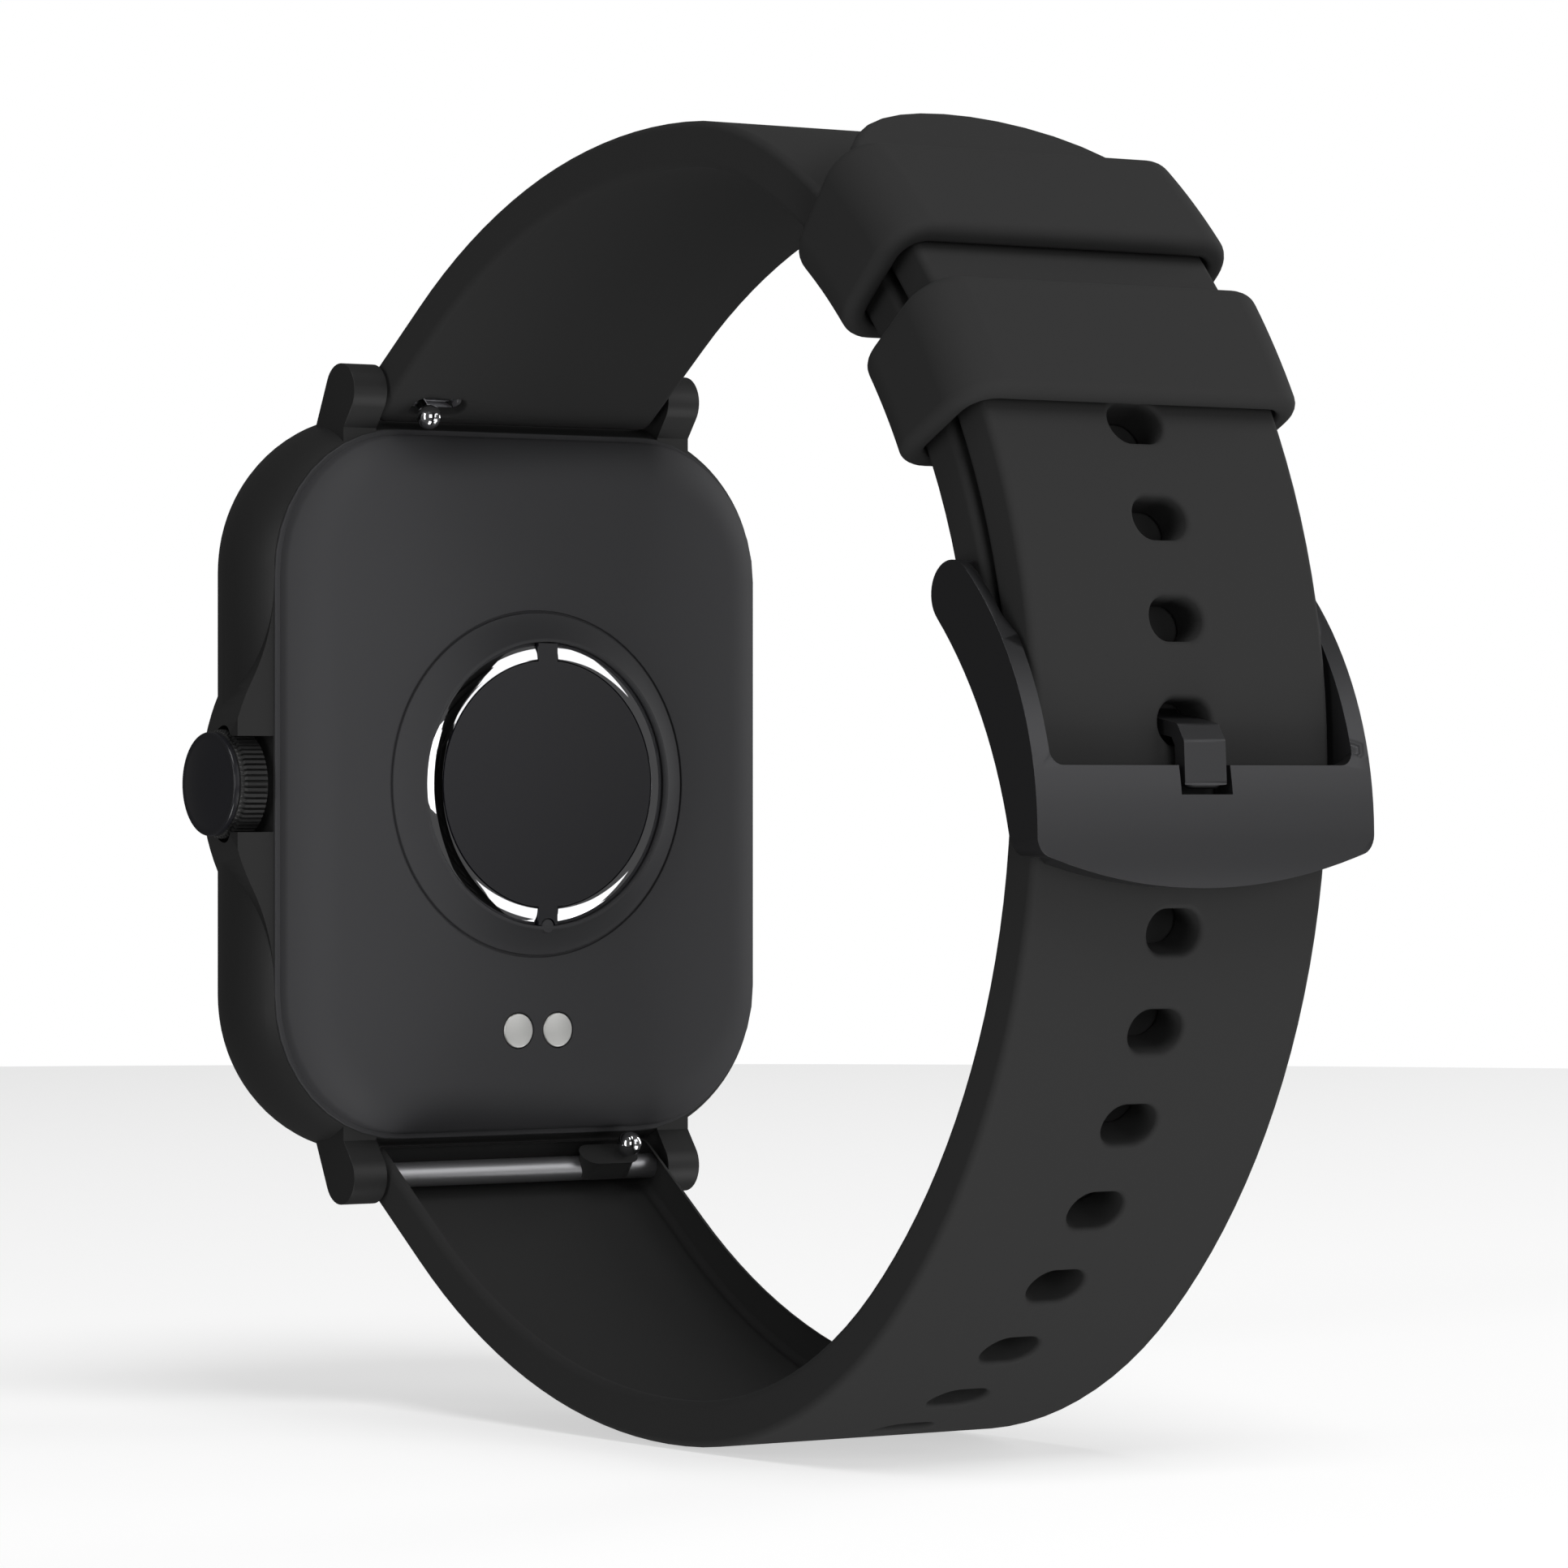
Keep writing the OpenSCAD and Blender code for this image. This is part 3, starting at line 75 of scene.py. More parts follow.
class Value:
    """A node's output socket, on which Python's operators add Math nodes."""

    def __init__(self, graph: "Graph", socket: bpy.types.NodeSocket) -> None:
        """Wraps a socket of a graph."""
        self.graph, self.socket = graph, socket

    def math(self, operation: str, *others: "Value | float") -> "Value":
        """The result of a Math node on this value and others."""
        return self.graph.math(operation, self, *others)

    def __add__(self, other: "Value | float") -> "Value":
        """Sum."""
        return self.math("ADD", other)

    __radd__ = __add__

    def __mul__(self, other: "Value | float") -> "Value":
        """Product."""
        return self.math("MULTIPLY", other)

    __rmul__ = __mul__

    def __sub__(self, other: "Value | float") -> "Value":
        """Difference."""
        return self.math("SUBTRACT", other)

    def __rsub__(self, other: float) -> "Value":
        """Difference, with this value taken away from a number."""
        return self.graph.math("SUBTRACT", other, self)

    def __truediv__(self, other: "Value | float") -> "Value":
        """Quotient."""
        return self.math("DIVIDE", other)

    def __pow__(self, other: float) -> "Value":
        """Power."""
        return self.math("POWER", other)

    def __abs__(self) -> "Value":
        """Size without sign."""
        return self.math("ABSOLUTE")

    def below(self, limit: float, soft: float) -> "Value":
        """1 where the value is under a limit and 0 over it, with a soft step.

        Args:
            limit: The value at the middle of the step.
            soft: The width of the step.
        """
        return self.graph.node(
            "ShaderNodeMapRange", {"interpolation_type": "SMOOTHSTEP"},
            {"Value": self, "From Min": limit + soft / 2, "From Max": limit - soft / 2}, "Result")


class Graph:
    """The node tree of one material, with its surface shader."""

    def __init__(self, name: str) -> None:
        """Makes an empty material of that name with a Principled shader."""
        self.material = bpy.data.materials.new(name)
        self.material.use_nodes = True
        self.tree = self.material.node_tree
        self.shader = next(n for n in self.tree.nodes if n.type == "BSDF_PRINCIPLED")

    def node(self, kind: str, settings: dict, inputs: dict, output: str) -> Value:
        """Adds any node.

        Args:
            kind: The node's type.
            settings: Its properties, and "stops" for a ramp's positions and grey levels.
            inputs: Numbers, vectors or values for its sockets, by socket name or index.
            output: The name of the output to return.

        Returns:
            The output as a value.
        """
        made = self.tree.nodes.new(kind)
        stops = settings.get("stops", [])
        for key, setting in settings.items():
            if key != "stops":
                setattr(made, key, setting)
        for i, (position, grey) in enumerate(stops):
            ramp = made.color_ramp.elements
            stop = ramp[i] if i < len(ramp) else ramp.new(position)
            stop.position = position
            stop.color = (grey, grey, grey, 1)
        for key, given in inputs.items():
            self.put(made.inputs[key], given)
        return Value(self, made.outputs[output])

    def put(self, socket: bpy.types.NodeSocket, given: "Value | float | Sequence") -> None:
        """Links a value to a socket, or sets a constant on it."""
        if isinstance(given, Value):
            self.tree.links.new(given.socket, socket)
        else:
            socket.default_value = given

    def math(self, operation: str, *operands: "Value | float") -> Value:
        """Adds a Math node on its operands, in order."""
        return self.node("ShaderNodeMath", {"operation": operation}, dict(enumerate(operands)), "Value")

    def place(self) -> Value:
        """The Object coordinates, in metres."""
        return self.node("ShaderNodeTexCoord", {}, {}, "Object")

    def axes(self) -> tuple[Value, Value, Value]:
        """The Object coordinates' three parts, in millimetres."""
        split = self.node("ShaderNodeSeparateXYZ", {}, {"Vector": self.place()}, "X")
        outputs = split.socket.node.outputs
        return tuple(Value(self, outputs[axis]) * (1 / MM) for axis in "XYZ")

    def noise(self, size: float, detail: float = 2.0, stretch: Sequence[float] = (1, 1, 1)) -> Value:
        """Noise whose blobs are about that many millimetres, from 0 to 1.

        Args:
            size: The blobs' size.
            detail: The number of finer layers.
            stretch: How many times longer the blobs are along each axis.
        """
        scale = [1 / s for s in stretch]
        vector = self.node("ShaderNodeMapping", {}, {"Vector": self.place(), "Scale": scale}, "Vector")
        given = {"Vector": vector, "Scale": 1 / (size * MM), "Detail": detail}
        return self.node("ShaderNodeTexNoise", {}, given, "Fac")

    def tint(self, share: Value, dark: Sequence[float], light: Sequence[float]) -> Value:
        """A colour between two, by a share from 0 to 1."""
        mixed = self.node("ShaderNodeMix", {"data_type": "RGBA"}, {"Factor": share}, "Result")
        node = mixed.socket.node
        colours = [s for s in node.inputs if s.type == "RGBA"]
        colours[0].default_value = (*dark, 1)
        colours[1].default_value = (*light, 1)
        return Value(self, next(s for s in node.outputs if s.type == "RGBA"))

    def bump(self, height: Value, depth: float) -> Value:
        """A normal that rises and falls by depth millimetres as height goes from 0 to 1."""
        return self.node("ShaderNodeBump", {}, {"Height": height, "Distance": depth * MM}, "Normal")

    def set(self, **inputs: "Value | float | Sequence[float]") -> None:
        """Sets the shader's sockets, whose names are written with _ for a space."""
        for name, given in inputs.items():
            self.put(self.shader.inputs[name.replace("_", " ")], given)


# ---------- finishes ----------


@dataclass(frozen=True)
class Finish:
    """A surface: two shades that blend in slow patches, and a fine grain.

    Attributes:
        slot: The record's material slot.
        shades: The darker and the lighter colour.
        roughness: The smoother and the rougher end.
        grain: Size of the grain in millimetres.
        depth: Height of the grain in millimetres.
        metallic: 1 for a metal.
        stretch: How many times longer the grain is along each axis.
        specular: Strength of the reflection at a right angle, 0.5 as in most plastics.
        coat: Weight of a clear coat.
        sheen: Weight of a dusty sheen at grazing angles.
    """

    slot: str
    shades: tuple[Sequence[float], Sequence[float]]
    roughness: tuple[float, float]
    grain: float = 0.1
    depth: float = 0.002
    metallic: float = 0.0
    stretch: tuple[float, float, float] = (1, 1, 1)
    specular: float = 0.5
    coat: float = 0.0
    sheen: float = 0.0

    def material(self) -> bpy.types.Material:
        """Makes the finish's material, or returns it if it is made already."""
        known = bpy.data.materials.get(self.slot)
        if known:
            return known
        graph = Graph(self.slot)
        patches, grain = graph.noise(6.0, 3.0), graph.noise(self.grain, 3.0, self.stretch)
        self.lay(graph, patches, grain)
        return graph.material

    def lay(self, graph: Graph, patches: Value, grain: Value) -> None:
        """Lays the finish on a graph.

        Args:
            graph: The material's graph.
            patches: Slow noise.
            grain: Fine noise.
        """
        smooth, rough = self.roughness
        mix = patches * 0.5 + grain * 0.5
        graph.set(Base_Color=graph.tint(mix, *self.shades), Roughness=mix * (rough - smooth) + smooth,
                  Metallic=self.metallic, Normal=graph.bump(grain, self.depth), Coat_Weight=self.coat,
                  Specular_IOR_Level=self.specular, Sheen_Weight=self.sheen)


@dataclass(frozen=True)
class Coating(Finish):
    """A blasted and coated alloy, whose grain sparkles a little."""

    def lay(self, graph: Graph, patches: Value, grain: Value) -> None:
        """Lays the coating, with fine specks over the base."""
        super().lay(graph, patches, grain)
        specks = 1 - graph.noise(self.grain * 0.8, 1.0).below(0.62, 0.12)
        dark, light = self.shades
        bright = [c * 1.6 for c in light]
        graph.set(Base_Color=graph.tint(specks * 0.6 + patches * 0.3, dark, bright))


@dataclass(frozen=True)
class SensorLens(Finish):
    """The black sensor glass, with its printed mask open over the lights and the detectors."""

    window: Sequence[float] = (0.045, 0.045, 0.047)
    light_r: float = 0.75
    light_at: float = 3.66
    detector: tuple[float, float] = (1.7, 2.26)
    gap: float = 0.5

    def lay(self, graph: Graph, patches: Value, grain: Value) -> None:
        """Lays the glass and lightens it over each window."""
        super().lay(graph, patches, grain)
        x, _, z = graph.axes()
        away = (x**2 + (abs(z) - self.light_at) ** 2) ** 0.5
        lights = away.below(self.light_r, 0.06)
        wide, high = self.detector
        beside = abs(abs(x) - (self.gap + wide) / 2).below(wide / 2, 0.05)
        detectors = beside * abs(z).below(high / 2, 0.05)
        windows = lights + detectors
        graph.set(Base_Color=graph.tint(windows, self.shades[0], self.window))


@dataclass(frozen=True)
class Brushed(Finish):
    """Brushed metal, whose lines vary its shine as well as its height."""

    def lay(self, graph: Graph, patches: Value, grain: Value) -> None:
        """Lays long lines over the base."""
        super().lay(graph, patches, grain)
        lines = graph.noise(self.grain * 2.2, 4.0, self.stretch)
        smooth, rough = self.roughness
        graph.set(Base_Color=graph.tint(lines * 0.7 + patches * 0.3, *self.shades),
                  Roughness=lines * (rough - smooth) + smooth)


@dataclass(frozen=True)
class Masked(Finish):
    """A circuit board's green mask, with fine tracks under it."""

    def lay(self, graph: Graph, patches: Value, grain: Value) -> None:
        """Lays the mask and its tracks."""
        super().lay(graph, patches, grain)
        x, _, z = graph.axes()
        across = abs(((x + z * 0.5) * 1.6).math("FRACT") - 0.5).below(0.16, 0.08)
        tracks = across * (1 - patches.below(0.5, 0.02))
        graph.set(Base_Color=graph.tint(tracks, self.shades[0], self.shades[1]))


def grey(level: float, warm: float = 0.0) -> tuple[float, float, float]:
    """A neutral colour, a little warmer or cooler."""
    return (level * (1 + warm), level, level * (1 - warm))


class Finishes(Enum):
    """Every finish of the watch."""

    CASE = Coating("case_black", (grey(0.06), grey(0.085)), (0.36, 0.5), 0.09, 0.004)
    COVER = Coating("cover_black", (grey(0.038), grey(0.05)), (0.4, 0.52), 0.08, 0.0025)
    FRONT_GLASS = Finish("front_glass", (grey(0.004), grey(0.006)), (0.03, 0.06), 3.0, 0.0002, coat=0.4)
    LENS = SensorLens("sensor_glass", (grey(0.001), grey(0.0014)), (0.03, 0.05), 2.0, 0.0001)
    RING = Finish("ring_mirror", (grey(0.86), grey(0.92)), (0.06, 0.12), 0.3, 0.0002, 1.0)
    PAD = Finish("pad_metal", (grey(0.93, 0.01), grey(0.97, 0.01)), (0.3, 0.42), 0.06, 0.001, 0.1)
    SILICONE = Finish("silicone", (grey(0.021), grey(0.027)), (0.56, 0.68), 0.12, 0.003,
                      specular=0.42, sheen=0.05)
    BUCKLE = Brushed("buckle_metal", (grey(0.16), grey(0.3)), (0.3, 0.46), 0.035, 0.0012, 1.0, (1, 40, 40))
    CROWN = Finish("crown_metal", (grey(0.012), grey(0.018)), (0.2, 0.32), 0.1, 0.001, specular=0.8)
    CROWN_CAP = Finish("crown_gloss", (grey(0.02), grey(0.026)), (0.06, 0.12), 1.0, 0.0002,
                       specular=0.8, coat=0.5)
    STEEL = Brushed("steel", (grey(0.5), grey(0.62)), (0.22, 0.36), 0.03, 0.001, 1.0, (1, 30, 30))
    KNOB = Finish("knob_chrome", (grey(0.55), grey(0.7)), (0.08, 0.16), 0.5, 0.0003, 1.0)
    SPRING = Brushed("spring_steel", (grey(0.42), grey(0.55)), (0.25, 0.4), 0.02, 0.0006, 1.0)
    SEAL = Finish("seal_rubber", (grey(0.014), grey(0.022)), (0.55, 0.7), 0.08, 0.003)
    ADHESIVE = Finish("adhesive", (grey(0.03), grey(0.045)), (0.7, 0.85), 0.2, 0.008)
    CHASSIS = Brushed("chassis_metal", (grey(0.42), grey(0.52)), (0.3, 0.45), 0.05, 0.002, 1.0, (30, 1, 1))
    BOARD = Masked("board_green", ((0.01, 0.07, 0.035), (0.03, 0.15, 0.07)), (0.3, 0.42), 0.2, 0.002,
                   coat=0.3)
    CHIP = Finish("chip_black", (grey(0.018), grey(0.028)), (0.45, 0.6), 0.07, 0.003)
    SHIELD = Brushed("shield_tin", (grey(0.5), grey(0.64)), (0.25, 0.4), 0.06, 0.002, 1.0, (20, 1, 1))
    BATTERY = Finish("battery_foil", (grey(0.42, -0.02), grey(0.56, -0.02)), (0.3, 0.42), 0.4, 0.006, 0.6)
    RIBBON = Finish("ribbon_amber", ((0.42, 0.19, 0.04), (0.6, 0.3, 0.07)), (0.25, 0.4), 0.3, 0.001,
                    coat=0.4)
    PANEL = Finish("panel_dark", (grey(0.012, -0.1), grey(0.02, -0.1)), (0.12, 0.22), 0.4, 0.0005)
    MAGNET = Finish("magnet_nickel", (grey(0.5), grey(0.62)), (0.14, 0.24), 0.2, 0.0006, 1.0)


# ---------- forms ----------


@dataclass(frozen=True)
class Arc:
    """A round stretch of an outline. It bulges outwards if it turns left, and inwards if it turns right.

    Attributes:
        centre: Its centre in the outline's plane.
        radius: Its radius.
        start: The angle where it starts, in degrees.
        end: The angle where it ends.
    """

    centre: tuple[float, float]
    radius: float
    start: float
    end: float

    def points(self, grown: float) -> list[Vector]:
        """Its points, with the outline grown by an amount."""
        steps = max(2, math.ceil(abs(self.end - self.start) / 9))
        radius = self.radius + (grown if self.end > self.start else -grown)
        turn = (self.end - self.start) / steps
        return [Vector(self.centre) + radius * direction(self.start + turn * i) for i in range(steps + 1)]


@dataclass(frozen=True)
class Outline:
    """A closed outline of arcs that straight lines join, run anticlockwise."""

    arcs: tuple[Arc, ...]

    def points(self, grown: float = 0.0) -> list[Vector]:
        """Its points, grown by an amount."""
        return [p for arc in self.arcs for p in arc.points(grown)]

    @staticmethod
    def rounded(half_a: float, half_b: float, radius: float, centre: Sequence[float] = (0, 0)) -> "Outline":
        """A rectangle with round corners.

        Args:
            half_a: Half its size along the plane's first axis.
            half_b: Half its size along the second.
            radius: Its corners' radius.
            centre: Its centre.

        Returns:
            The outline.
        """
        corners = ((1, -1, -90), (1, 1, 0), (-1, 1, 90), (-1, -1, 180))
        in_a, in_b = half_a - radius, half_b - radius
        return Outline(tuple(
            Arc((centre[0] + a * in_a, centre[1] + b * in_b), radius, turn, turn + 90)
            for a, b, turn in corners))


@dataclass(frozen=True)
class Rounding:
    """Edges of a form to round.

    Attributes:
        width: How far the rounding reaches from the edge.
        segments: Its number of faces.
        where: Whether an edge is rounded, by its middle and its direction.
        angle: The least angle between an edge's faces, in degrees.
        clamp: Whether short edges beside it limit its width.
    """

    width: float
    segments: int = 3
    where: Callable[[Vector, Vector], bool] = lambda middle, along: True
    angle: float = 35.0
    clamp: bool = True


Edges = list[bmesh.types.BMEdge]


class Form:
    """A mesh that is being made, in millimetres."""

    def __init__(self) -> None:
        """Starts an empty form."""
        self.bm = bmesh.new()

    @staticmethod
    def copy_of(node: str) -> "Form":
        """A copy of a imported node, merged, with its flat faces whole."""
        form = Form()
        form.bm.from_mesh(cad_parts[node].data)
        bmesh.ops.scale(form.bm, vec=(1 / MM,) * 3, verts=form.bm.verts)
        bmesh.ops.remove_doubles(form.bm, verts=form.bm.verts, dist=1e-3)
        bmesh.ops.dissolve_limit(form.bm, angle_limit=math.radians(0.5), verts=form.bm.verts,
                                 edges=form.bm.edges)
        return form

    def wire(self, points: Sequence[Vector], closed: bool = True) -> Edges:
        """Joins points by edges."""
        verts = [self.bm.verts.new(p) for p in points]
        following = verts[1:] + (verts[:1] if closed else [])
        return [self.bm.edges.new(pair) for pair in zip(verts, following)]

    def skin(self, rings: Sequence[Edges], closed: bool = False) -> None:
        """Bridges each ring of edges to the next, and the last to the first if closed."""
        pairs = zip(rings, [*rings[1:], rings[0]] if closed else rings[1:])
        for ring, after in pairs:
            bmesh.ops.bridge_loops(self.bm, edges=[*ring, *after])

    def turned(self, profile: Sequence[Vector], centre: Vector, axis: Vector, steps: int = 96) -> None:
        """Spins an open profile all the way round an axis."""
        edges = self.wire(profile, closed=False)
        verts = {v for e in edges for v in e.verts}
        bmesh.ops.spin(self.bm, geom=[*verts, *edges], cent=centre, axis=axis, angle=math.tau, steps=steps,
                       use_merge=True)

    def fill(self, edges: Edges, normal: Vector) -> None:
        """Fills a flat outline and its holes with faces."""
        bmesh.ops.triangle_fill(self.bm, use_beauty=True, use_dissolve=False, edges=edges, normal=normal)

    def rim(self, test: Callable[[Vector], bool]) -> Edges:
        """The open edges whose middles pass a test."""
        return [e for e in self.bm.edges
                if len(e.link_faces) == 1 and test((e.verts[0].co + e.verts[1].co) / 2)]

    def round_edges(self, rounding: Rounding) -> None:
        """Rounds the sharp edges that a rounding chooses."""
        limit = math.radians(rounding.angle)
        chosen = [e for e in self.bm.edges if len(e.link_faces) == 2 and e.calc_face_angle() > limit
                  and rounding.where((e.verts[0].co + e.verts[1].co) / 2,
                                     (e.verts[1].co - e.verts[0].co).normalized())]
        bmesh.ops.bevel(self.bm, geom=chosen, offset=rounding.width, offset_type="OFFSET", affect="EDGES",
                        segments=rounding.segments, profile=0.5, clamp_overlap=rounding.clamp, material=-1)

    def slice(self, axis: int, start: float, end: float, step: float) -> None:
        """Cuts the faces across an axis at even steps, so that the form can bend."""
        normal = Vector((0, 0, 0))
        normal[axis] = 1
        for i in range(1, math.ceil((end - start) / step)):
            everything = [*self.bm.verts, *self.bm.edges, *self.bm.faces]
            bmesh.ops.bisect_plane(self.bm, geom=everything, dist=1e-4, plane_co=normal * (start + i * step),
                                   plane_no=normal)

    def cut(self, at: Vector, away: Vector) -> None:
        """Cuts off what lies beyond a plane, and closes the cut."""
        bmesh.ops.remove_doubles(self.bm, verts=self.bm.verts, dist=1e-4)
        everything = [*self.bm.verts, *self.bm.edges, *self.bm.faces]
        bmesh.ops.bisect_plane(self.bm, geom=everything, dist=1e-5, plane_co=at, plane_no=away,
                               clear_outer=True)
        bmesh.ops.holes_fill(self.bm, edges=[e for e in self.bm.edges if len(e.link_faces) == 1], sides=0)

    def add(self, other: "Form") -> None:
        """Adds another form's mesh to this one, and frees the other."""
        mesh = bpy.data.meshes.new("part")
        other.bm.to_mesh(mesh)
        other.bm.free()
        self.bm.from_mesh(mesh)
        bpy.data.meshes.remove(mesh)

    def move(self, place: Callable[[Vector], Sequence[float]]) -> None:
        """Moves every point to the place that a function gives it."""
        for vert in self.bm.verts:
            vert.co = place(vert.co)

    def finish(self, name: str, body: str, finish: Finishes, *nodes: str,
               crease: float = 32.0) -> bpy.types.Object:
        """Turns the form into a piece in metres that rides on a body.

        Args:
            name: The piece's name.
            body: The body that it rides on.
            finish: Its finish.
            *nodes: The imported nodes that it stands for.
            crease: The least angle of an edge that stays sharp, in degrees.

        Returns:
            The piece.
        """
        bmesh.ops.remove_doubles(self.bm, verts=self.bm.verts, dist=1e-3)
        bmesh.ops.recalc_face_normals(self.bm, faces=self.bm.faces)
        bmesh.ops.scale(self.bm, vec=(MM,) * 3, verts=self.bm.verts)
        for face in self.bm.faces:
            face.smooth = True
        for edge in self.bm.edges:
            edge.smooth = len(edge.link_faces) == 2 and edge.calc_face_angle() < math.radians(crease)
        mesh = bpy.data.meshes.new(name)
        self.bm.to_mesh(mesh)
        self.bm.free()
        piece = bpy.data.objects.new(name, mesh)
        bpy.context.scene.collection.objects.link(piece)
        mesh.materials.append(finish.value.material())
        shading = piece.modifiers.new("Shading", "WEIGHTED_NORMAL")
        shading.keep_sharp = True
        shading.weight = 80
        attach(piece, body)
        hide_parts(*nodes)
        LOG.info("%s: %d faces, on %s", name, len(mesh.polygons), body)
        return piece


def paint(finish: Finishes, *nodes: str) -> None:
    """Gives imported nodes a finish."""
    for node in nodes:
        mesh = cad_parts[node].data
        mesh.materials.clear()
        mesh.materials.append(finish.value.material())
        LOG.info("%s: packed node in %s", node, finish.value.slot)


def arc_profile(centre: Sequence[float], radius: float, start: float, end: float,
                steps: int) -> list[Vector]:
    """Points along an arc in a plane."""
    turn = (end - start) / steps
    return [Vector(centre) + radius * direction(start + turn * i) for i in range(steps + 1)]


# ---------- case ----------


@dataclass
class Case:
    """The case: its frame, rear cover, sensor window, charging pads and front glass.

    Attributes:
        corner_at: X and Z of the rear cover's corner centres.
        seam_r: Radius of the cover's corners at its seam with the frame.
        seam_y: Depth of the seam.
        roll: How far in the cover's edge rolls over.
        roll_r: Radius of that roll.
        lip: Width of the ledge round the cover's edge.
        mound_foot: Radius of the sensor mound's foot.
        mound_top: Radius of its top.
        mound_h: Its height.
        seat_r: Radius of the seat that holds glass and ring.
        seat_y: Depth of that seat.
        hole_r: Radius of the hole under the glass.
        ring_r: Inner and outer radius of the bright ring.
        ring_gap: Gap between its halves.
        ring_fall: How far its face falls from its inner to its outer edge.
        pad_r: Radius of a charging pad.
        pad_at: X and drop in Z of the pads.
        index_r: Radius of the tab that keys the glass.
        slack: Gap between parts that are pushed together.
        bar: Y of the spring bars, and their distance from the case centre along Z.
        bar_hole: Radius round a spring bar that keeps its edges sharp.
        lug_edge: Rounding of a lug's edges.
        edge: Rounding of the frame's other edges.
    """

    corner_at: tuple[float, float] = (8.45, 12.5)
    seam_r: float = 8.8
    seam_y: float = -2.2
    roll: float = 3.3
    roll_r: float = 3.575
    lip: float = 0.3
    mound_foot: float = 10.37
    mound_top: float = 8.75
    mound_h: float = 1.08
    seat_r: float = 8.58
    seat_y: float = 0.55
    hole_r: float = 6.9
    ring_r: tuple[float, float] = (7.5, 8.53)
    ring_gap: float = 1.5
    ring_fall: float = 0.3
    pad_r: float = 1.05
    pad_at: tuple[float, float] = (1.42, 14.9)
    index_r: float = 0.43
    slack: float = 0.05
    bar: tuple[float, float] = (-2.6, 23.5)
    bar_hole: float = 0.6
    lug_edge: float = 0.55
    edge: float = 0.09

    def build(self) -> None:
        """Builds and dresses every piece of the case."""
        self.shell()
        self.cover()
        self.window()
        self.ring()
        self.pads()
        paint(Finishes.FRONT_GLASS, "display_glass")
        paint(Finishes.SEAL, "rear_gasket")

    def shell(self) -> None:
        """The coated frame, with its lugs well rounded and its other edges just broken."""
        def on_lug(middle: Vector, along: Vector) -> bool:
            """Whether an edge is on a lug, past the case."""
            return abs(middle.z) > 21.6 and 10 < abs(middle.x) < 13.5

        def outer(middle: Vector, along: Vector) -> bool:
            """Whether an edge is on the outside of the frame, away from its bores."""
            past_seam = middle.y > self.seam_y - 0.05
            beside_crown = middle.x > 17.35 and abs(middle.z) < 12
            return not on_lug(middle, along) and (past_seam or beside_crown) and middle.y < 0.5

        def in_bar_hole(middle: Vector) -> bool:
            """Whether a point is at the rim of a spring bar's hole."""
            return math.hypot(middle.y - self.bar[0], abs(middle.z) - self.bar[1]) < self.bar_hole

        form = Form.copy_of("case_frame")
        form.round_edges(Rounding(self.lug_edge, 5, lambda m, a: on_lug(m, a) and not in_bar_hole(m)))
        form.round_edges(Rounding(self.edge, 2, outer))
        form.finish("frame_shell", "case", Finishes.CASE, "case_frame")

    def ring_at(self, form: Form, reach: float, depth: float) -> Edges:
        """A ring round the cover, at a reach from its corner centres and a depth."""
        across, along = self.corner_at
        outline = Outline.rounded(across + reach, along + reach, reach)
        return form.wire([Vector((p.x, depth, p.y)) for p in outline.points()])

    def cover(self) -> None:
        """The moulded rear cover: a ledge at the seam, the rolled edge, the flat and the sensor mound."""
        form = Form()
        flat_reach = self.seam_r - self.roll
        ledge_y = self.seam_y + 0.14
        stations = [(self.seam_r - 0.9, self.seam_y), (self.seam_r, self.seam_y),
                    (self.seam_r, ledge_y - 0.04), (self.seam_r - 0.04, ledge_y),
                    (self.seam_r - self.lip, ledge_y + 0.02)]
        start = math.degrees(math.asin((self.roll - self.lip - 0.05) / self.roll_r))
        for p in arc_profile((flat_reach, -self.roll_r), self.roll_r, 90 - start, 90, 14):
            stations.append((p.x, p.y))
        rings = [self.ring_at(form, reach, depth) for reach, depth in stations]
        form.skin(rings)
        holes = [self.pad_hole(form, side) for side in (-1, 1)]
        form.turned(self.mound_profile(), Vector((0, 0, 0)), Vector((0, 1, 0)), 128)
        foot = form.rim(lambda m: math.hypot(m.x, m.z) < self.mound_foot + 1 and abs(m.y) < 1e-4
                        and math.hypot(m.x, m.z) > self.mound_foot)
        form.fill([*rings[-1], *foot, *holes[0], *holes[1]], Vector((0, 1, 0)))
        tab = [Vector((0.001, self.mound_h - 0.02, -self.seat_r)),
               Vector((self.index_r - 0.05, self.mound_h - 0.02, -self.seat_r)),
               Vector((self.index_r, self.mound_h - 0.07, -self.seat_r)),
               Vector((self.index_r, self.seat_y, -self.seat_r))]
        form.turned(tab, Vector((0, 0, -self.seat_r)), Vector((0, 1, 0)), 32)
        form.finish("rear_shell", "case", Finishes.COVER, "rear_cover")

    def mound_profile(self) -> list[Vector]:
        """The mound's section, from the groove at its foot over its rim to the sensor's seat."""
        foot, top, high = self.mound_foot, self.mound_top, self.mound_h
        groove = 0.16
        points = [(foot + 0.2, 0), (foot + 0.14, -0.03), (foot + 0.11, -groove), (foot, -groove)]
        slope = arc_profile((foot + 1.4, 5.9), 6.1, 256, 240, 8)
        low, far = slope[0], slope[-1]
        for p in slope:
            share = (low.x - p.x) / (low.x - far.x)
            points.append((foot - 0.04 - share * (foot - 0.04 - top - 0.1),
                           0.02 + (high - 0.1) * share**1.25))
        points += [(top + 0.04, high - 0.02), (top, high), (self.seat_r + 0.05, high),
                   (self.seat_r, high - 0.05), (self.seat_r, self.seat_y), (self.hole_r, self.seat_y),
                   (self.hole_r, -1.0)]
        return [Vector((r, y, 0)) for r, y in points]

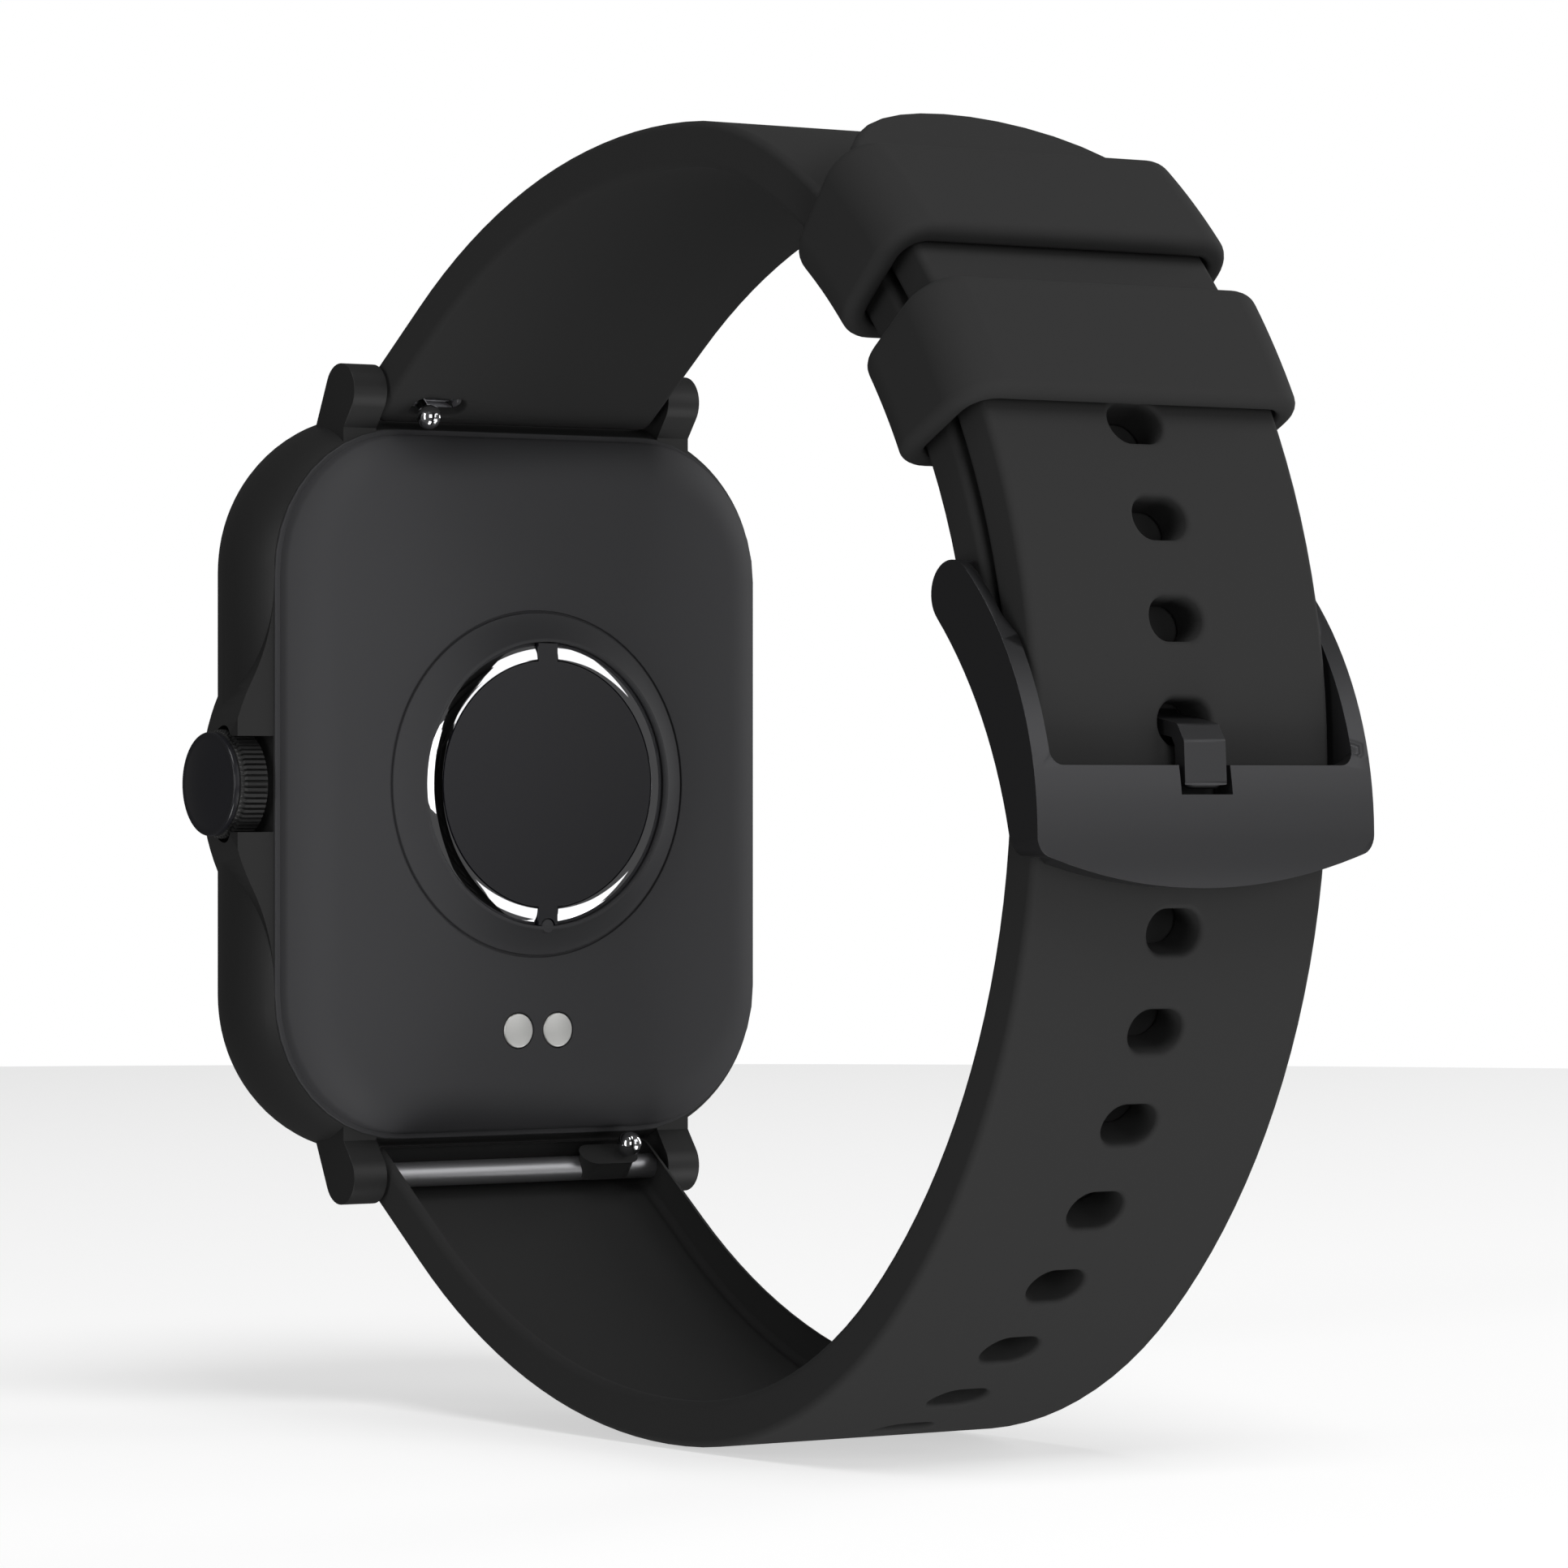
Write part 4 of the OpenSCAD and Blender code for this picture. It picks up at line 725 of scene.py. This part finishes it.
    def pad_hole(self, form: Form, side: int) -> Edges:
        """The hole round one charging pad. Returns its edges in the flat."""
        outer = self.pad_r + self.slack + 0.05
        rings = []
        for r, y in ((outer, 0.0), (outer - 0.04, -0.03), (outer - 0.05, -0.4)):
            circle = arc_profile((side * self.pad_at[0], -self.pad_at[1]), r, 0, 360, 48)[:-1]
            rings.append(form.wire([Vector((p.x, y, p.y)) for p in circle]))
        form.skin(rings)
        return rings[0]

    def window(self) -> None:
        """The sensor glass, with a fine polished chamfer."""
        form = Form.copy_of("sensor_glass")
        form.round_edges(Rounding(0.035, 2, lambda m, a: m.y > self.mound_h - 0.01))
        form.finish("sensor_window", "case", Finishes.LENS, "sensor_glass")

    def ring(self) -> None:
        """The two halves of the bright ring, whose face curves down towards its outer edge."""
        inner, outer = self.ring_r
        corner = 0.28
        gap = self.ring_gap / 2
        high = self.mound_h - 0.02
        face = [(inner + 0.02 + t * (outer - inner - 0.04),
                 high - self.ring_fall * (0.35 * t + 0.65 * t * t)) for t in (i / 6 for i in range(7))]
        profile = [(inner, self.seat_y), (inner, high - 0.03), *face, (outer, face[-1][1] - 0.03),
                   (outer, self.seat_y), (inner, self.seat_y)]
        form = Form()
        for side in (1, -1):
            half = Form()
            half.turned([Vector((r, y, 0)) for r, y in profile], Vector((0, 0, 0)), Vector((0, 1, 0)), 180)
            half.cut(Vector((side * gap, 0, 0)), Vector((-side, 0, 0)))
            half.round_edges(Rounding(corner, 4, lambda m, a: abs(a.y) > 0.9 and abs(abs(m.x) - gap) < 0.01
                                      and math.hypot(m.x, m.z) < inner + 0.1, 20))
            form.add(half)
        form.finish("bright_ring", "case", Finishes.RING, "sensor_ring", crease=50)

    def pads(self) -> None:
        """The two charging pads, each a plated pin with a rounded face."""
        form = Form()
        for side in (-1, 1):
            x, z = side * self.pad_at[0], -self.pad_at[1]
            face = arc_profile((self.pad_r - 0.09, -0.09), 0.09, 90, 0, 4)
            profile = [Vector((x + r, y, z)) for r, y in [(0.0, 0.0), *((p.x, p.y) for p in face),
                                                          (self.pad_r, -1.6), (0.0, -1.6)]]
            form.turned(profile, Vector((x, 0, z)), Vector((0, 1, 0)), 64)
        form.finish("pad_pins", "case", Finishes.PAD, "charging_pads")


# ---------- crown ----------


@dataclass
class Crown:
    """The crown that turns and presses.

    Attributes:
        depth: Depth of its axis.
        wheel_at: X of the wheel's two faces.
        wheel_r: Radius over the teeth.
        tooth_h: Height of a tooth.
        teeth: Number of teeth.
        cap_r: Radius of the cap.
        cap_edge: Thickness of its edge.
        cap_dome: Height of its dome.
        recess: Radius and depth of the wheel's recess for the spring.
    """

    depth: float = -5.0
    wheel_at: tuple[float, float] = (17.75, 19.75)
    wheel_r: float = 3.25
    tooth_h: float = 0.2
    teeth: int = 60
    cap_r: float = 3.1
    cap_edge: float = 0.3
    cap_dome: float = 0.45
    recess: tuple[float, float] = (1.97, 0.9)

    def build(self) -> None:
        """Builds the wheel and the cap."""
        self.wheel()
        self.cap()

    def toothed(self, form: Form, x: float, tip: float) -> Edges:
        """A ring of teeth across the axis, each with a flat top."""
        root = min(tip, self.wheel_r - self.tooth_h)
        points = []
        pitch = 360 / self.teeth
        for k in range(self.teeth):
            for turn, r in ((-0.42, root), (-0.26, tip), (0.26, tip), (0.42, root)):
                p = r * direction((k + turn) * pitch)
                points.append(Vector((x, self.depth + p.x, p.y)))
        return form.wire(points)

    def wheel(self) -> None:
        """The knurled wheel: teeth that taper at both ends, and a recess for the spring."""
        form = Form()
        low, high = self.wheel_at
        root = self.wheel_r - self.tooth_h
        stations = ((low, root - 0.15), (low + 0.12, root), (low + 0.2, self.wheel_r),
                    (high - 0.42, self.wheel_r), (high - 0.3, root + 0.05), (high - 0.14, root + 0.05),
                    (high - 0.06, root), (high, root - 0.12))
        rings = [self.toothed(form, x, tip) for x, tip in stations]
        form.skin(rings)
        radius, deep = self.recess
        inner = [self.circle(form, low, radius), self.circle(form, low + deep, radius)]
        form.skin(inner)
        form.fill([*rings[0], *inner[0]], Vector((-1, 0, 0)))
        form.fill(inner[1], Vector((-1, 0, 0)))
        form.fill(rings[-1], Vector((1, 0, 0)))
        form.finish("knurled_wheel", "crown", Finishes.CROWN, "crown_wheel")

    def circle(self, form: Form, x: float, radius: float) -> Edges:
        """A circle across the axis."""
        points = arc_profile((self.depth, 0), radius, 0, 360, 64)[:-1]
        return form.wire([Vector((x, p.x, p.y)) for p in points])

    def cap(self) -> None:
        """The polished cap: a rounded edge and a shallow dome."""
        back = self.wheel_at[1]
        edge = 0.14
        dome_r = (self.cap_r**2 + self.cap_dome**2) / (2 * self.cap_dome)
        lip = arc_profile((self.cap_edge - 0.02, self.cap_r - edge), edge, 90, 20, 5)
        profile = [(0.0, 0.0), (0.0, self.cap_r - 0.08), (0.06, self.cap_r), *((p.x, p.y) for p in lip)]
        top = self.cap_edge + self.cap_dome
        for i in range(11):
            r = (self.cap_r - edge - 0.12) * (1 - i / 10)
            profile.append((top - dome_r + math.sqrt(dome_r**2 - r**2), r))
        form = Form()
        form.turned([Vector((back + x, self.depth + r, 0)) for x, r in profile],
                    Vector((back, self.depth, 0)), Vector((1, 0, 0)), 96)
        form.finish("polished_cap", "crown", Finishes.CROWN_CAP, "crown_cap")


# ---------- strap ----------


class End(Enum):
    """Which end of the case a strap is fastened to, as its sign along Z."""

    TWELVE = 1
    SIX = -1


@dataclass
class StrapLine:
    """A strap's middle line in Y and Z: a straight from the spring bar, then three bends.

    Attributes:
        loop_r: Radius of its last bend.
        end: The end of the case that it starts from.
        bar: Y of the spring bar, and its distance from the case centre along Z.
        leave: The angle at which it leaves the bar.
        straight: Length of the straight.
        first_r: Radius of the first bend.
        first_sweep: Sweep of the first bend.
        loop: Y and Z of the last bend's centre.
    """

    loop_r: float
    end: End
    bar: tuple[float, float] = (-2.6, 23.5)
    leave: float = 36.16
    straight: float = 6.7
    first_r: float = 43.9
    first_sweep: float = 38.27
    loop: tuple[float, float] = (21.68, 1.03)
    bends: list[tuple[float, Vector, float, float]] = field(init=False)

    def __post_init__(self) -> None:
        """Works out where each bend starts, its centre, its radius and its first angle."""
        head = self.leave - self.first_sweep
        left, left_end = direction(self.leave + 90), direction(head + 90)
        first_at = Vector(self.bar) + self.straight * direction(self.leave) - self.first_r * left
        first_end = first_at + self.first_r * left_end
        loop_at = Vector((self.loop[0], self.loop[1] * self.end.value))
        way = first_end - loop_at
        second_r = (self.loop_r**2 - way.length_squared) / (2 * (self.loop_r - left_end.dot(way)))
        second_at = first_end - second_r * left_end
        last = math.degrees(math.atan2(*(second_at - loop_at).yx))
        second_s = self.straight + self.first_r * math.radians(self.first_sweep)
        last_s = second_s + second_r * math.radians(head + 90 - last)
        self.bends = [(self.straight, first_at, self.first_r, self.leave + 90),
                      (second_s, second_at, second_r, head + 90), (last_s, loop_at, self.loop_r, last)]

    def place(self, run: float, out: float) -> Vector:
        """The point in Y and Z at a length along the line and a distance outside it."""
        if run <= self.straight:
            flat = Vector(self.bar) + run * direction(self.leave) + out * direction(self.leave + 90)
        else:
            start, centre, radius, angle = [b for b in self.bends if run > b[0]][-1]
            flat = centre + (radius + out) * direction(angle - math.degrees((run - start) / radius))
        return Vector((flat.x, flat.y * self.end.value))

    def length_to(self, angle: float) -> float:
        """The length along the line to an angle on its last bend."""
        start, _, radius, first = self.bends[-1]
        return start + radius * math.radians(first - angle)


@dataclass
class Strap:
    """Both halves of the strap: cut flat with rounded edges and holes, then bent to the wrist.

    Attributes:
        half_w: Half its width.
        half_t: Half its thickness.
        edge: Radius of its softened edges.
        overhang: How far it runs past a spring bar.
        corner: Radius of its corners in plan.
        hole: Length and width of an adjustment hole.
        hole_edge: Radius of a hole's softened rim.
        pitch: Spacing of the holes.
        to_tip: Number of holes past the buckled one.
        to_case: Number of holes from the buckled one towards the case.
        tip_run: Distance from the buckled hole to the centre of the tip's rounding.
        tip_r: Radius of that rounding.
        outer_r: Middle radius of the outer layer at the clasp.
        inner_r: Middle radius of the inner layer there.
        hole_at: Angle of the buckled hole.
        bar_at: Angle of the buckle's bar.
        knob_at: Middle of the quick-release slot along the bar.
        knob_slot: Half the length and half the width of that slot.
        tip_side: Radius where the tip's rounding meets the strap's sides.
        past_bar: How far the rolled end runs past the buckle's bar.
        tongue_slot: Half the width of the tongue's slot, the radius of its mouth, and its reach
            short of the bar.
        step: Longest flat stretch of the bent strap.
    """

    half_w: float = 9.9
    half_t: float = 1.3
    edge: float = 0.45
    overhang: float = 1.42
    corner: float = 0.8
    hole: tuple[float, float] = (3.6, 2.4)
    hole_edge: float = 0.3
    pitch: float = 5.42
    to_tip: int = 3
    to_case: int = 9
    tip_run: float = 30.0
    tip_r: float = 11.0
    outer_r: float = 39.9
    inner_r: float = 36.7
    hole_at: float = 3.1
    bar_at: float = 14.2
    knob_at: float = 6.14
    knob_slot: tuple[float, float] = (1.85, 0.75)
    tip_side: float = 1.2
    past_bar: float = 1.6
    tongue_slot: tuple[float, float, float] = (1.65, 0.4, 3.0)
    step: float = 1.6

    def build(self) -> None:
        """Builds both halves."""
        self.outer_half()
        self.inner_half()

    def ringed(self, form: Form, outline: Outline, edge: float, side: int) -> tuple[Edges, Edges]:
        """A wall through the strap with softened rims.

        Args:
            form: The flat strap, whose X runs along it, Y across it and Z outwards.
            outline: The wall's outline in plan.
            edge: Radius of its rims.
            side: 1 for the outside of the strap, and -1 for a hole.

        Returns:
            Its edges in the inner face and in the outer face.
        """
        inset = [(edge * (1 - math.cos(a)), edge * (1 - math.sin(a)))
                 for a in (math.radians(90 - 15 * i) for i in range(7))]
        profile = [(-side * grown, -self.half_t + rise) for grown, rise in inset]
        profile += [(grown, -z) for grown, z in reversed(profile)]
        rings = [form.wire([Vector((p.x, p.y, z)) for p in outline.points(grown)]) for grown, z in profile]
        form.skin(rings)
        return rings[0], rings[-1]

    def pocket(self, form: Form, outline: Outline, floor: float) -> Edges:
        """A blind slot in the inner face. Returns its edges in that face."""
        rim = 0.18
        profile = ((rim, -self.half_t), (rim * 0.3, -self.half_t + rim * 0.3),
                   (0, -self.half_t + rim), (0, floor))
        rings = [form.wire([Vector((p.x, p.y, z)) for p in outline.points(grown)]) for grown, z in profile]
        form.skin(rings)
        form.fill(rings[-1], Vector((0, 0, -1)))
        return rings[0]

    def half(self, name: str, node: str, line: StrapLine, outline: Outline, holes: Sequence[Outline],
             end: float) -> None:
        """Makes one half of the strap flat, and bends it along its line.

        Args:
            name: The piece's name.
            node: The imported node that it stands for.
            line: Its middle line.
            outline: Its outline in plan.
            holes: The outlines of its holes.
            end: Where it ends, along its line.
        """
        form = Form()
        inner, outer = self.ringed(form, outline, self.edge, 1)
        for hole in holes:
            in_inner, in_outer = self.ringed(form, hole, self.hole_edge, -1)
            inner, outer = inner + in_inner, outer + in_outer
        slot_l, slot_w = self.knob_slot
        knob = Outline.rounded(slot_w, slot_l, slot_w - 0.01, (0.3, self.knob_at * line.end.value))
        inner = inner + self.pocket(form, knob, 0.1)
        form.fill(outer, Vector((0, 0, 1)))
        form.fill(inner, Vector((0, 0, -1)))
        form.slice(0, -self.overhang, end, self.step)
        form.move(lambda p: (p.y, *line.place(p.x, p.z)))
        form.finish(name, "case", Finishes.SILICONE, node, crease=50)

    def outer_half(self) -> None:
        """The half with the holes, from 6 o'clock to its rounded tip."""
        line = StrapLine(self.outer_r, End.SIX)
        buckled = line.length_to(-self.hole_at)
        tip = buckled + self.tip_run
        start, wide, c, side = -self.overhang, self.half_w, self.corner, self.tip_side
        turn = math.degrees(math.asin((wide - side) / (self.tip_r - side)))
        corner = (self.tip_r - side) * direction(turn)
        outline = Outline((
            Arc((tip + corner.x, -corner.y), side, -90, -turn), Arc((tip, 0), self.tip_r, -turn, turn),
            Arc((tip + corner.x, corner.y), side, turn, 90), Arc((start + c, wide - c), c, 90, 180),
            Arc((start + c, c - wide), c, 180, 270)))
        length, width = self.hole
        holes = [Outline.rounded(width / 2, length / 2, width / 2 - 0.001, (buckled - k * self.pitch, 0))
                 for k in range(-self.to_tip, self.to_case + 1)]
        self.half("strap_with_holes", "hole_strap", line, outline, holes, tip + self.tip_r)

    def inner_half(self) -> None:
        """The half with the buckle, from 12 o'clock to its rolled end with the tongue's slot."""
        line = StrapLine(self.inner_r, End.TWELVE)
        bar = line.length_to(self.bar_at)
        end, start, wide, c = bar + self.past_bar, -self.overhang, self.half_w, self.corner
        slot, mouth, reach = self.tongue_slot
        deep = bar - reach
        outline = Outline((
            Arc((end - c, c - wide), c, -90, 0), Arc((end - mouth, -slot - mouth), mouth, 0, 90),
            Arc((deep + c, c - slot), c, -90, -180), Arc((deep + c, slot - c), c, 180, 90),
            Arc((end - mouth, slot + mouth), mouth, -90, 0), Arc((end - c, wide - c), c, 0, 90),
            Arc((start + c, wide - c), c, 90, 180), Arc((start + c, c - wide), c, 180, 270)))
        self.half("strap_with_buckle", "buckle_strap", line, outline, [], end)


@dataclass
class Keepers:
    """The two loops that hold the strap's free end.

    Attributes:
        loop: Y and Z of the clasp end's bend.
        mid_r: Radius of the middle of a keeper.
        room: Half its inner height and half its inner width.
        wall: Thickness of its front and back.
        side: Thickness of its sides.
        length: Its length along the strap, at its outer face.
        corner: Radius of its outer corners.
        rim: Radius of its rims, outside and inside.
        places: Each keeper's body and its angle.
    """

    loop: tuple[float, float] = (21.68, 1.03)
    mid_r: float = 38.3
    room: tuple[float, float] = (3.1, 10.5)
    wall: float = 1.25
    side: float = 1.25
    length: float = 7.7
    corner: float = 2.6
    rim: tuple[float, float] = (0.72, 0.3)
    places: tuple[tuple[str, float], ...] = (("keeper_upper", 47.5), ("keeper_lower", 32.8))

    def build(self) -> None:
        """Builds both keepers."""
        for body, at in self.places:
            self.keeper(body, at)

    def keeper(self, body: str, at: float) -> None:
        """Makes one keeper as a ring of sections round the bend's centre."""
        form = Form()
        high, wide = self.room
        outside = Outline.rounded(high + self.wall, wide + self.side, self.corner)
        inside = Outline.rounded(high, wide, self.corner - self.wall)
        half = self.length / 2
        stations = []
        spread = 8
        for outline, sign, rim in ((outside, -1, self.rim[0]), (inside, 1, self.rim[1])):
            rims = [(sign * rim * (1 - math.cos(a)), half - rim * (1 - math.sin(a)))
                    for a in (math.radians(90 - 15 * i) for i in range(7))]
            middle = [(0.0, (half - rim) * (1 - 2 * i / spread)) for i in range(1, spread)]
            back = [(grown, -run) for grown, run in reversed(rims)]
            course = [(outline, grown, run) for grown, run in rims + middle + back]
            stations += course if outline is outside else course[::-1]
        outer_r = self.mid_r + high + self.wall
        rings = []
        for outline, grown, run in stations:
            turn = direction(at + math.degrees(run / outer_r))
            points = [Vector((p.y, self.loop[0] + (self.mid_r + p.x) * turn.x,
                              self.loop[1] + (self.mid_r + p.x) * turn.y)) for p in outline.points(grown)]
            rings.append(form.wire(points))
        form.skin(rings, closed=True)
        form.finish(body + "_loop", body, Finishes.SILICONE, body, crease=60)


# ---------- buckle ----------


@dataclass
class Buckle:
    """The frame of the pin buckle and its tongue.

    Attributes:
        window: Half the width of the window.
        half: Half the overall width.
        tongue: Half the width of the tongue.
        bar: Y and Z of the bar.
        bore_rim: Radius round the bar that keeps its edges sharp.
        window_r: Radius of the window's corners.
        end_r: Radius of the frame's outer corners.
        tip_r: Radius of the tongue's corners.
        edges: Rounding of the frame's other edges and of the tongue's.
    """

    window: float = 10.2
    half: float = 11.35
    tongue: float = 1.4
    bar: tuple[float, float] = (57.2586, 10.0328)
    bore_rim: float = 0.7
    window_r: float = 0.8
    end_r: float = 0.75
    tip_r: float = 0.7
    edges: tuple[float, float] = (0.16, 0.12)

    def build(self) -> None:
        """Builds the frame and the tongue, and paints the bar."""
        self.ring()
        self.pin()
        paint(Finishes.STEEL, "buckle_bar")

    def ring(self) -> None:
        """The frame, with round corners in plan and every edge broken."""
        form = Form.copy_of("buckle_frame")

        def through(middle: Vector, along: Vector) -> bool:
            """Whether an edge runs through the plate from front to back."""
            return abs(along.y) > 0.6 and abs(along.x) < 0.3 and middle.y > 58

        form.round_edges(Rounding(self.window_r, 6, lambda m, a: through(m, a)
                                  and abs(abs(m.x) - self.window) < 0.1, clamp=False))
        form.round_edges(Rounding(self.end_r, 6, lambda m, a: through(m, a)
                                  and abs(abs(m.x) - self.half) < 0.1 and m.z < -2, clamp=False))
        form.round_edges(Rounding(self.edges[0], 3, lambda m, a: not self.in_bore(m)))
        form.finish("buckle_ring", "buckle_frame", Finishes.BUCKLE, "buckle_frame")

    def in_bore(self, middle: Vector) -> bool:
        """Whether a point is at the rim of the bar's bore."""
        return math.hypot(middle.y - self.bar[0], middle.z - self.bar[1]) < self.bore_rim

    def pin(self) -> None:
        """The tongue, with a rounded tip and soft edges."""
        form = Form.copy_of("buckle_tongue")
        low = min(v.co.z for v in form.bm.verts)
        form.round_edges(Rounding(self.tip_r, 5, lambda m, a: abs(a.x) < 0.3 and m.z < low + 0.45
                                  and abs(abs(m.x) - self.tongue) < 0.05 and abs(a.y) > 0.5, clamp=False))
        form.round_edges(Rounding(self.edges[1], 2, lambda m, a: not self.in_bore(m)))
        form.finish("buckle_pin", "buckle_tongue", Finishes.BUCKLE, "buckle_tongue")


# ---------- inside ----------


@dataclass
class Movement:
    """Everything under the covers and the small fittings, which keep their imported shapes."""

    finishes: tuple[tuple[Finishes, tuple[str, ...]], ...] = (
        (Finishes.ADHESIVE, ("glass_adhesive", "battery_pad")),
        (Finishes.PANEL, ("display_panel",)),
        (Finishes.RIBBON, ("display_ribbon", "sensor_ribbon")),
        (Finishes.CHASSIS, ("inner_chassis",)),
        (Finishes.BOARD, ("main_board", "sensor_board")),
        (Finishes.CHIP, ("board_chips", "light_detectors", "light_barrier", "side_switch")),
        (Finishes.SHIELD, ("board_shield", "vibration_motor")),
        (Finishes.STEEL, ("board_screws", "crown_tube", "crown_clip", "crown_stem", "bar_tube_upper",
                          "bar_tube_lower", "switch_plunger")),
        (Finishes.BATTERY, ("battery", "sensor_lights")),
        (Finishes.MAGNET, ("charging_magnets",)),
        (Finishes.SEAL, ("crown_seal",)),
        (Finishes.SPRING, ("crown_spring", "bar_spring_upper", "bar_spring_lower")),
        (Finishes.KNOB, ("release_pin_upper", "release_pin_lower")),
    )

    def build(self) -> None:
        """Paints every piece."""
        for finish, nodes in self.finishes:
            paint(finish, *nodes)


# ---------- studio ----------


@dataclass(frozen=True)
class Softbox:
    """A rectangular light.

    Attributes:
        name: Its name.
        at: Its place in metres.
        towards: The point that it faces.
        size: Its width and height.
        watts: Its power.
        roll: Its turn about its own axis, in degrees.
    """

    name: str
    at: tuple[float, float, float]
    towards: tuple[float, float, float]
    size: tuple[float, float]
    watts: float
    roll: float = 0.0

    def hang(self) -> None:
        """Adds the light to the scene."""
        light = bpy.data.lights.new(self.name, "AREA")
        light.shape = "RECTANGLE"
        light.size, light.size_y = self.size
        light.energy = self.watts
        lamp = bpy.data.objects.new(self.name, light)
        lamp.location = self.at
        turn = (Vector(self.towards) - Vector(self.at)).to_track_quat("-Z", "Y").to_euler()
        lamp.rotation_euler = turn
        lamp.rotation_euler.rotate_axis("Z", math.radians(self.roll))
        bpy.context.scene.collection.objects.link(lamp)


@dataclass
class Studio:
    """The camera, the pale floor and the soft lights.

    Attributes:
        camera_at: The camera's place in metres.
        heading: The horizontal way that it looks, in degrees from +X.
        lens: Its focal length in millimetres, on a 36 mm sensor.
        floor_r: Radius of the floor in metres.
        floor_gap: How far the floor is under the watch, in metres.
        floor_glow: Strength of the floor's own light.
        room_light: Strength of the room's light on the watch.
        boxes: The lights.
    """

    camera_at: tuple[float, float, float] = (0.22606, 0.34711, 0.0)
    heading: float = 234.87
    lens: float = 157.1
    floor_r: float = 0.5
    floor_gap: float = 0.0002
    floor_glow: float = 0.55
    room_light: float = 0.07
    boxes: tuple[Softbox, ...] = (
        Softbox("front", (0.3, 0.95, 0.1), (0, 0.02, 0), (0.5, 0.5), 1.3),
        Softbox("left_strip", (0.9, 0.25, 0.05), (0, 0, 0), (0.25, 0.9), 1.8),
        Softbox("top_front", (0.1, 0.5, 0.85), (0, 0.02, 0), (0.5, 0.5), 3.2),
        Softbox("low_front", (0.1, 0.5, -0.85), (0, 0.02, 0), (0.5, 0.5), 3.6),
        Softbox("low_right", (-0.6, 0.5, -0.6), (0, 0.02, 0), (0.4, 0.4), 0.6),
        Softbox("far_right", (-0.9, 0.0, 0.25), (0, 0.03, 0), (0.3, 0.6), 1.6),
        Softbox("lens_card", (-0.3975, 0.8098, 0.0977), (0, 0.001, 0), (0.3, 0.3), 0.3, 41.9),
        Softbox("ring_top", (-0.58, 0.72, 0.44), (0, 0.001, 0), (0.7, 0.36), 0.9),
        Softbox("ring_low", (-0.58, 0.72, -0.44), (0, 0.001, 0), (0.7, 0.36), 0.9),
    )

    def build(self) -> None:
        """Sets up the studio."""
        self.camera()
        self.floor()
        self.world()
        for box in self.boxes:
            box.hang()

    def camera(self) -> None:
        """Adds the camera, level and without shift."""
        data = bpy.data.cameras.new("camera")
        data.lens = self.lens
        data.sensor_width = 36
        data.clip_start, data.clip_end = 0.01, 20
        camera = bpy.data.objects.new("camera", data)
        camera.location = self.camera_at
        camera.rotation_euler = (math.pi / 2, 0, math.radians(self.heading - 90))
        bpy.context.scene.collection.objects.link(camera)
        bpy.context.scene.camera = camera

    def floor(self) -> None:
        """Adds a pale floor just under the watch."""
        shape = bmesh.new()
        bmesh.ops.create_circle(shape, cap_ends=True, segments=96, radius=self.floor_r)
        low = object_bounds()[0].z
        bmesh.ops.translate(shape, verts=shape.verts, vec=(0, 0, low - self.floor_gap))
        mesh = bpy.data.meshes.new("floor")
        shape.to_mesh(mesh)
        shape.free()
        floor = bpy.data.objects.new("floor", mesh)
        bpy.context.scene.collection.objects.link(floor)
        graph = Graph("floor_paper")
        fibres = graph.noise(1.5, 3.0)
        graph.set(Base_Color=graph.tint(fibres, grey(0.93), grey(0.95)), Roughness=0.9,
                  Emission_Color=(1, 1, 1, 1), Emission_Strength=self.floor_glow)
        mesh.materials.append(graph.material)
        floor.visible_glossy = False
        floor.visible_diffuse = False
        floor.visible_shadow = False
        floor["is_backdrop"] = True

    def world(self) -> None:
        """Makes the backdrop white to the camera and dim to the watch."""
        world = bpy.data.worlds.new("studio")
        world.use_nodes = True
        bpy.context.scene.world = world
        tree = world.node_tree
        background = tree.nodes["Background"]
        path = tree.nodes.new("ShaderNodeLightPath")
        mix = tree.nodes.new("ShaderNodeMapRange")
        mix.inputs["To Min"].default_value = self.room_light
        mix.inputs["To Max"].default_value = 1.0
        tree.links.new(path.outputs["Is Camera Ray"], mix.inputs["Value"])
        tree.links.new(mix.outputs["Result"], background.inputs["Strength"])
        background.inputs["Color"].default_value = (1, 1, 1, 1)


def main() -> None:
    """Builds the watch and its studio."""
    logging.basicConfig(level=logging.INFO, format="%(name)s: %(message)s")
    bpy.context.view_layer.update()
    scene = bpy.context.scene
    scene.view_settings.view_transform = "Standard"
    for part in (Case(), Crown(), Strap(), Keepers(), Buckle(), Movement()):
        part.build()
    Studio().build()


if __name__ == "__main__":
    main()
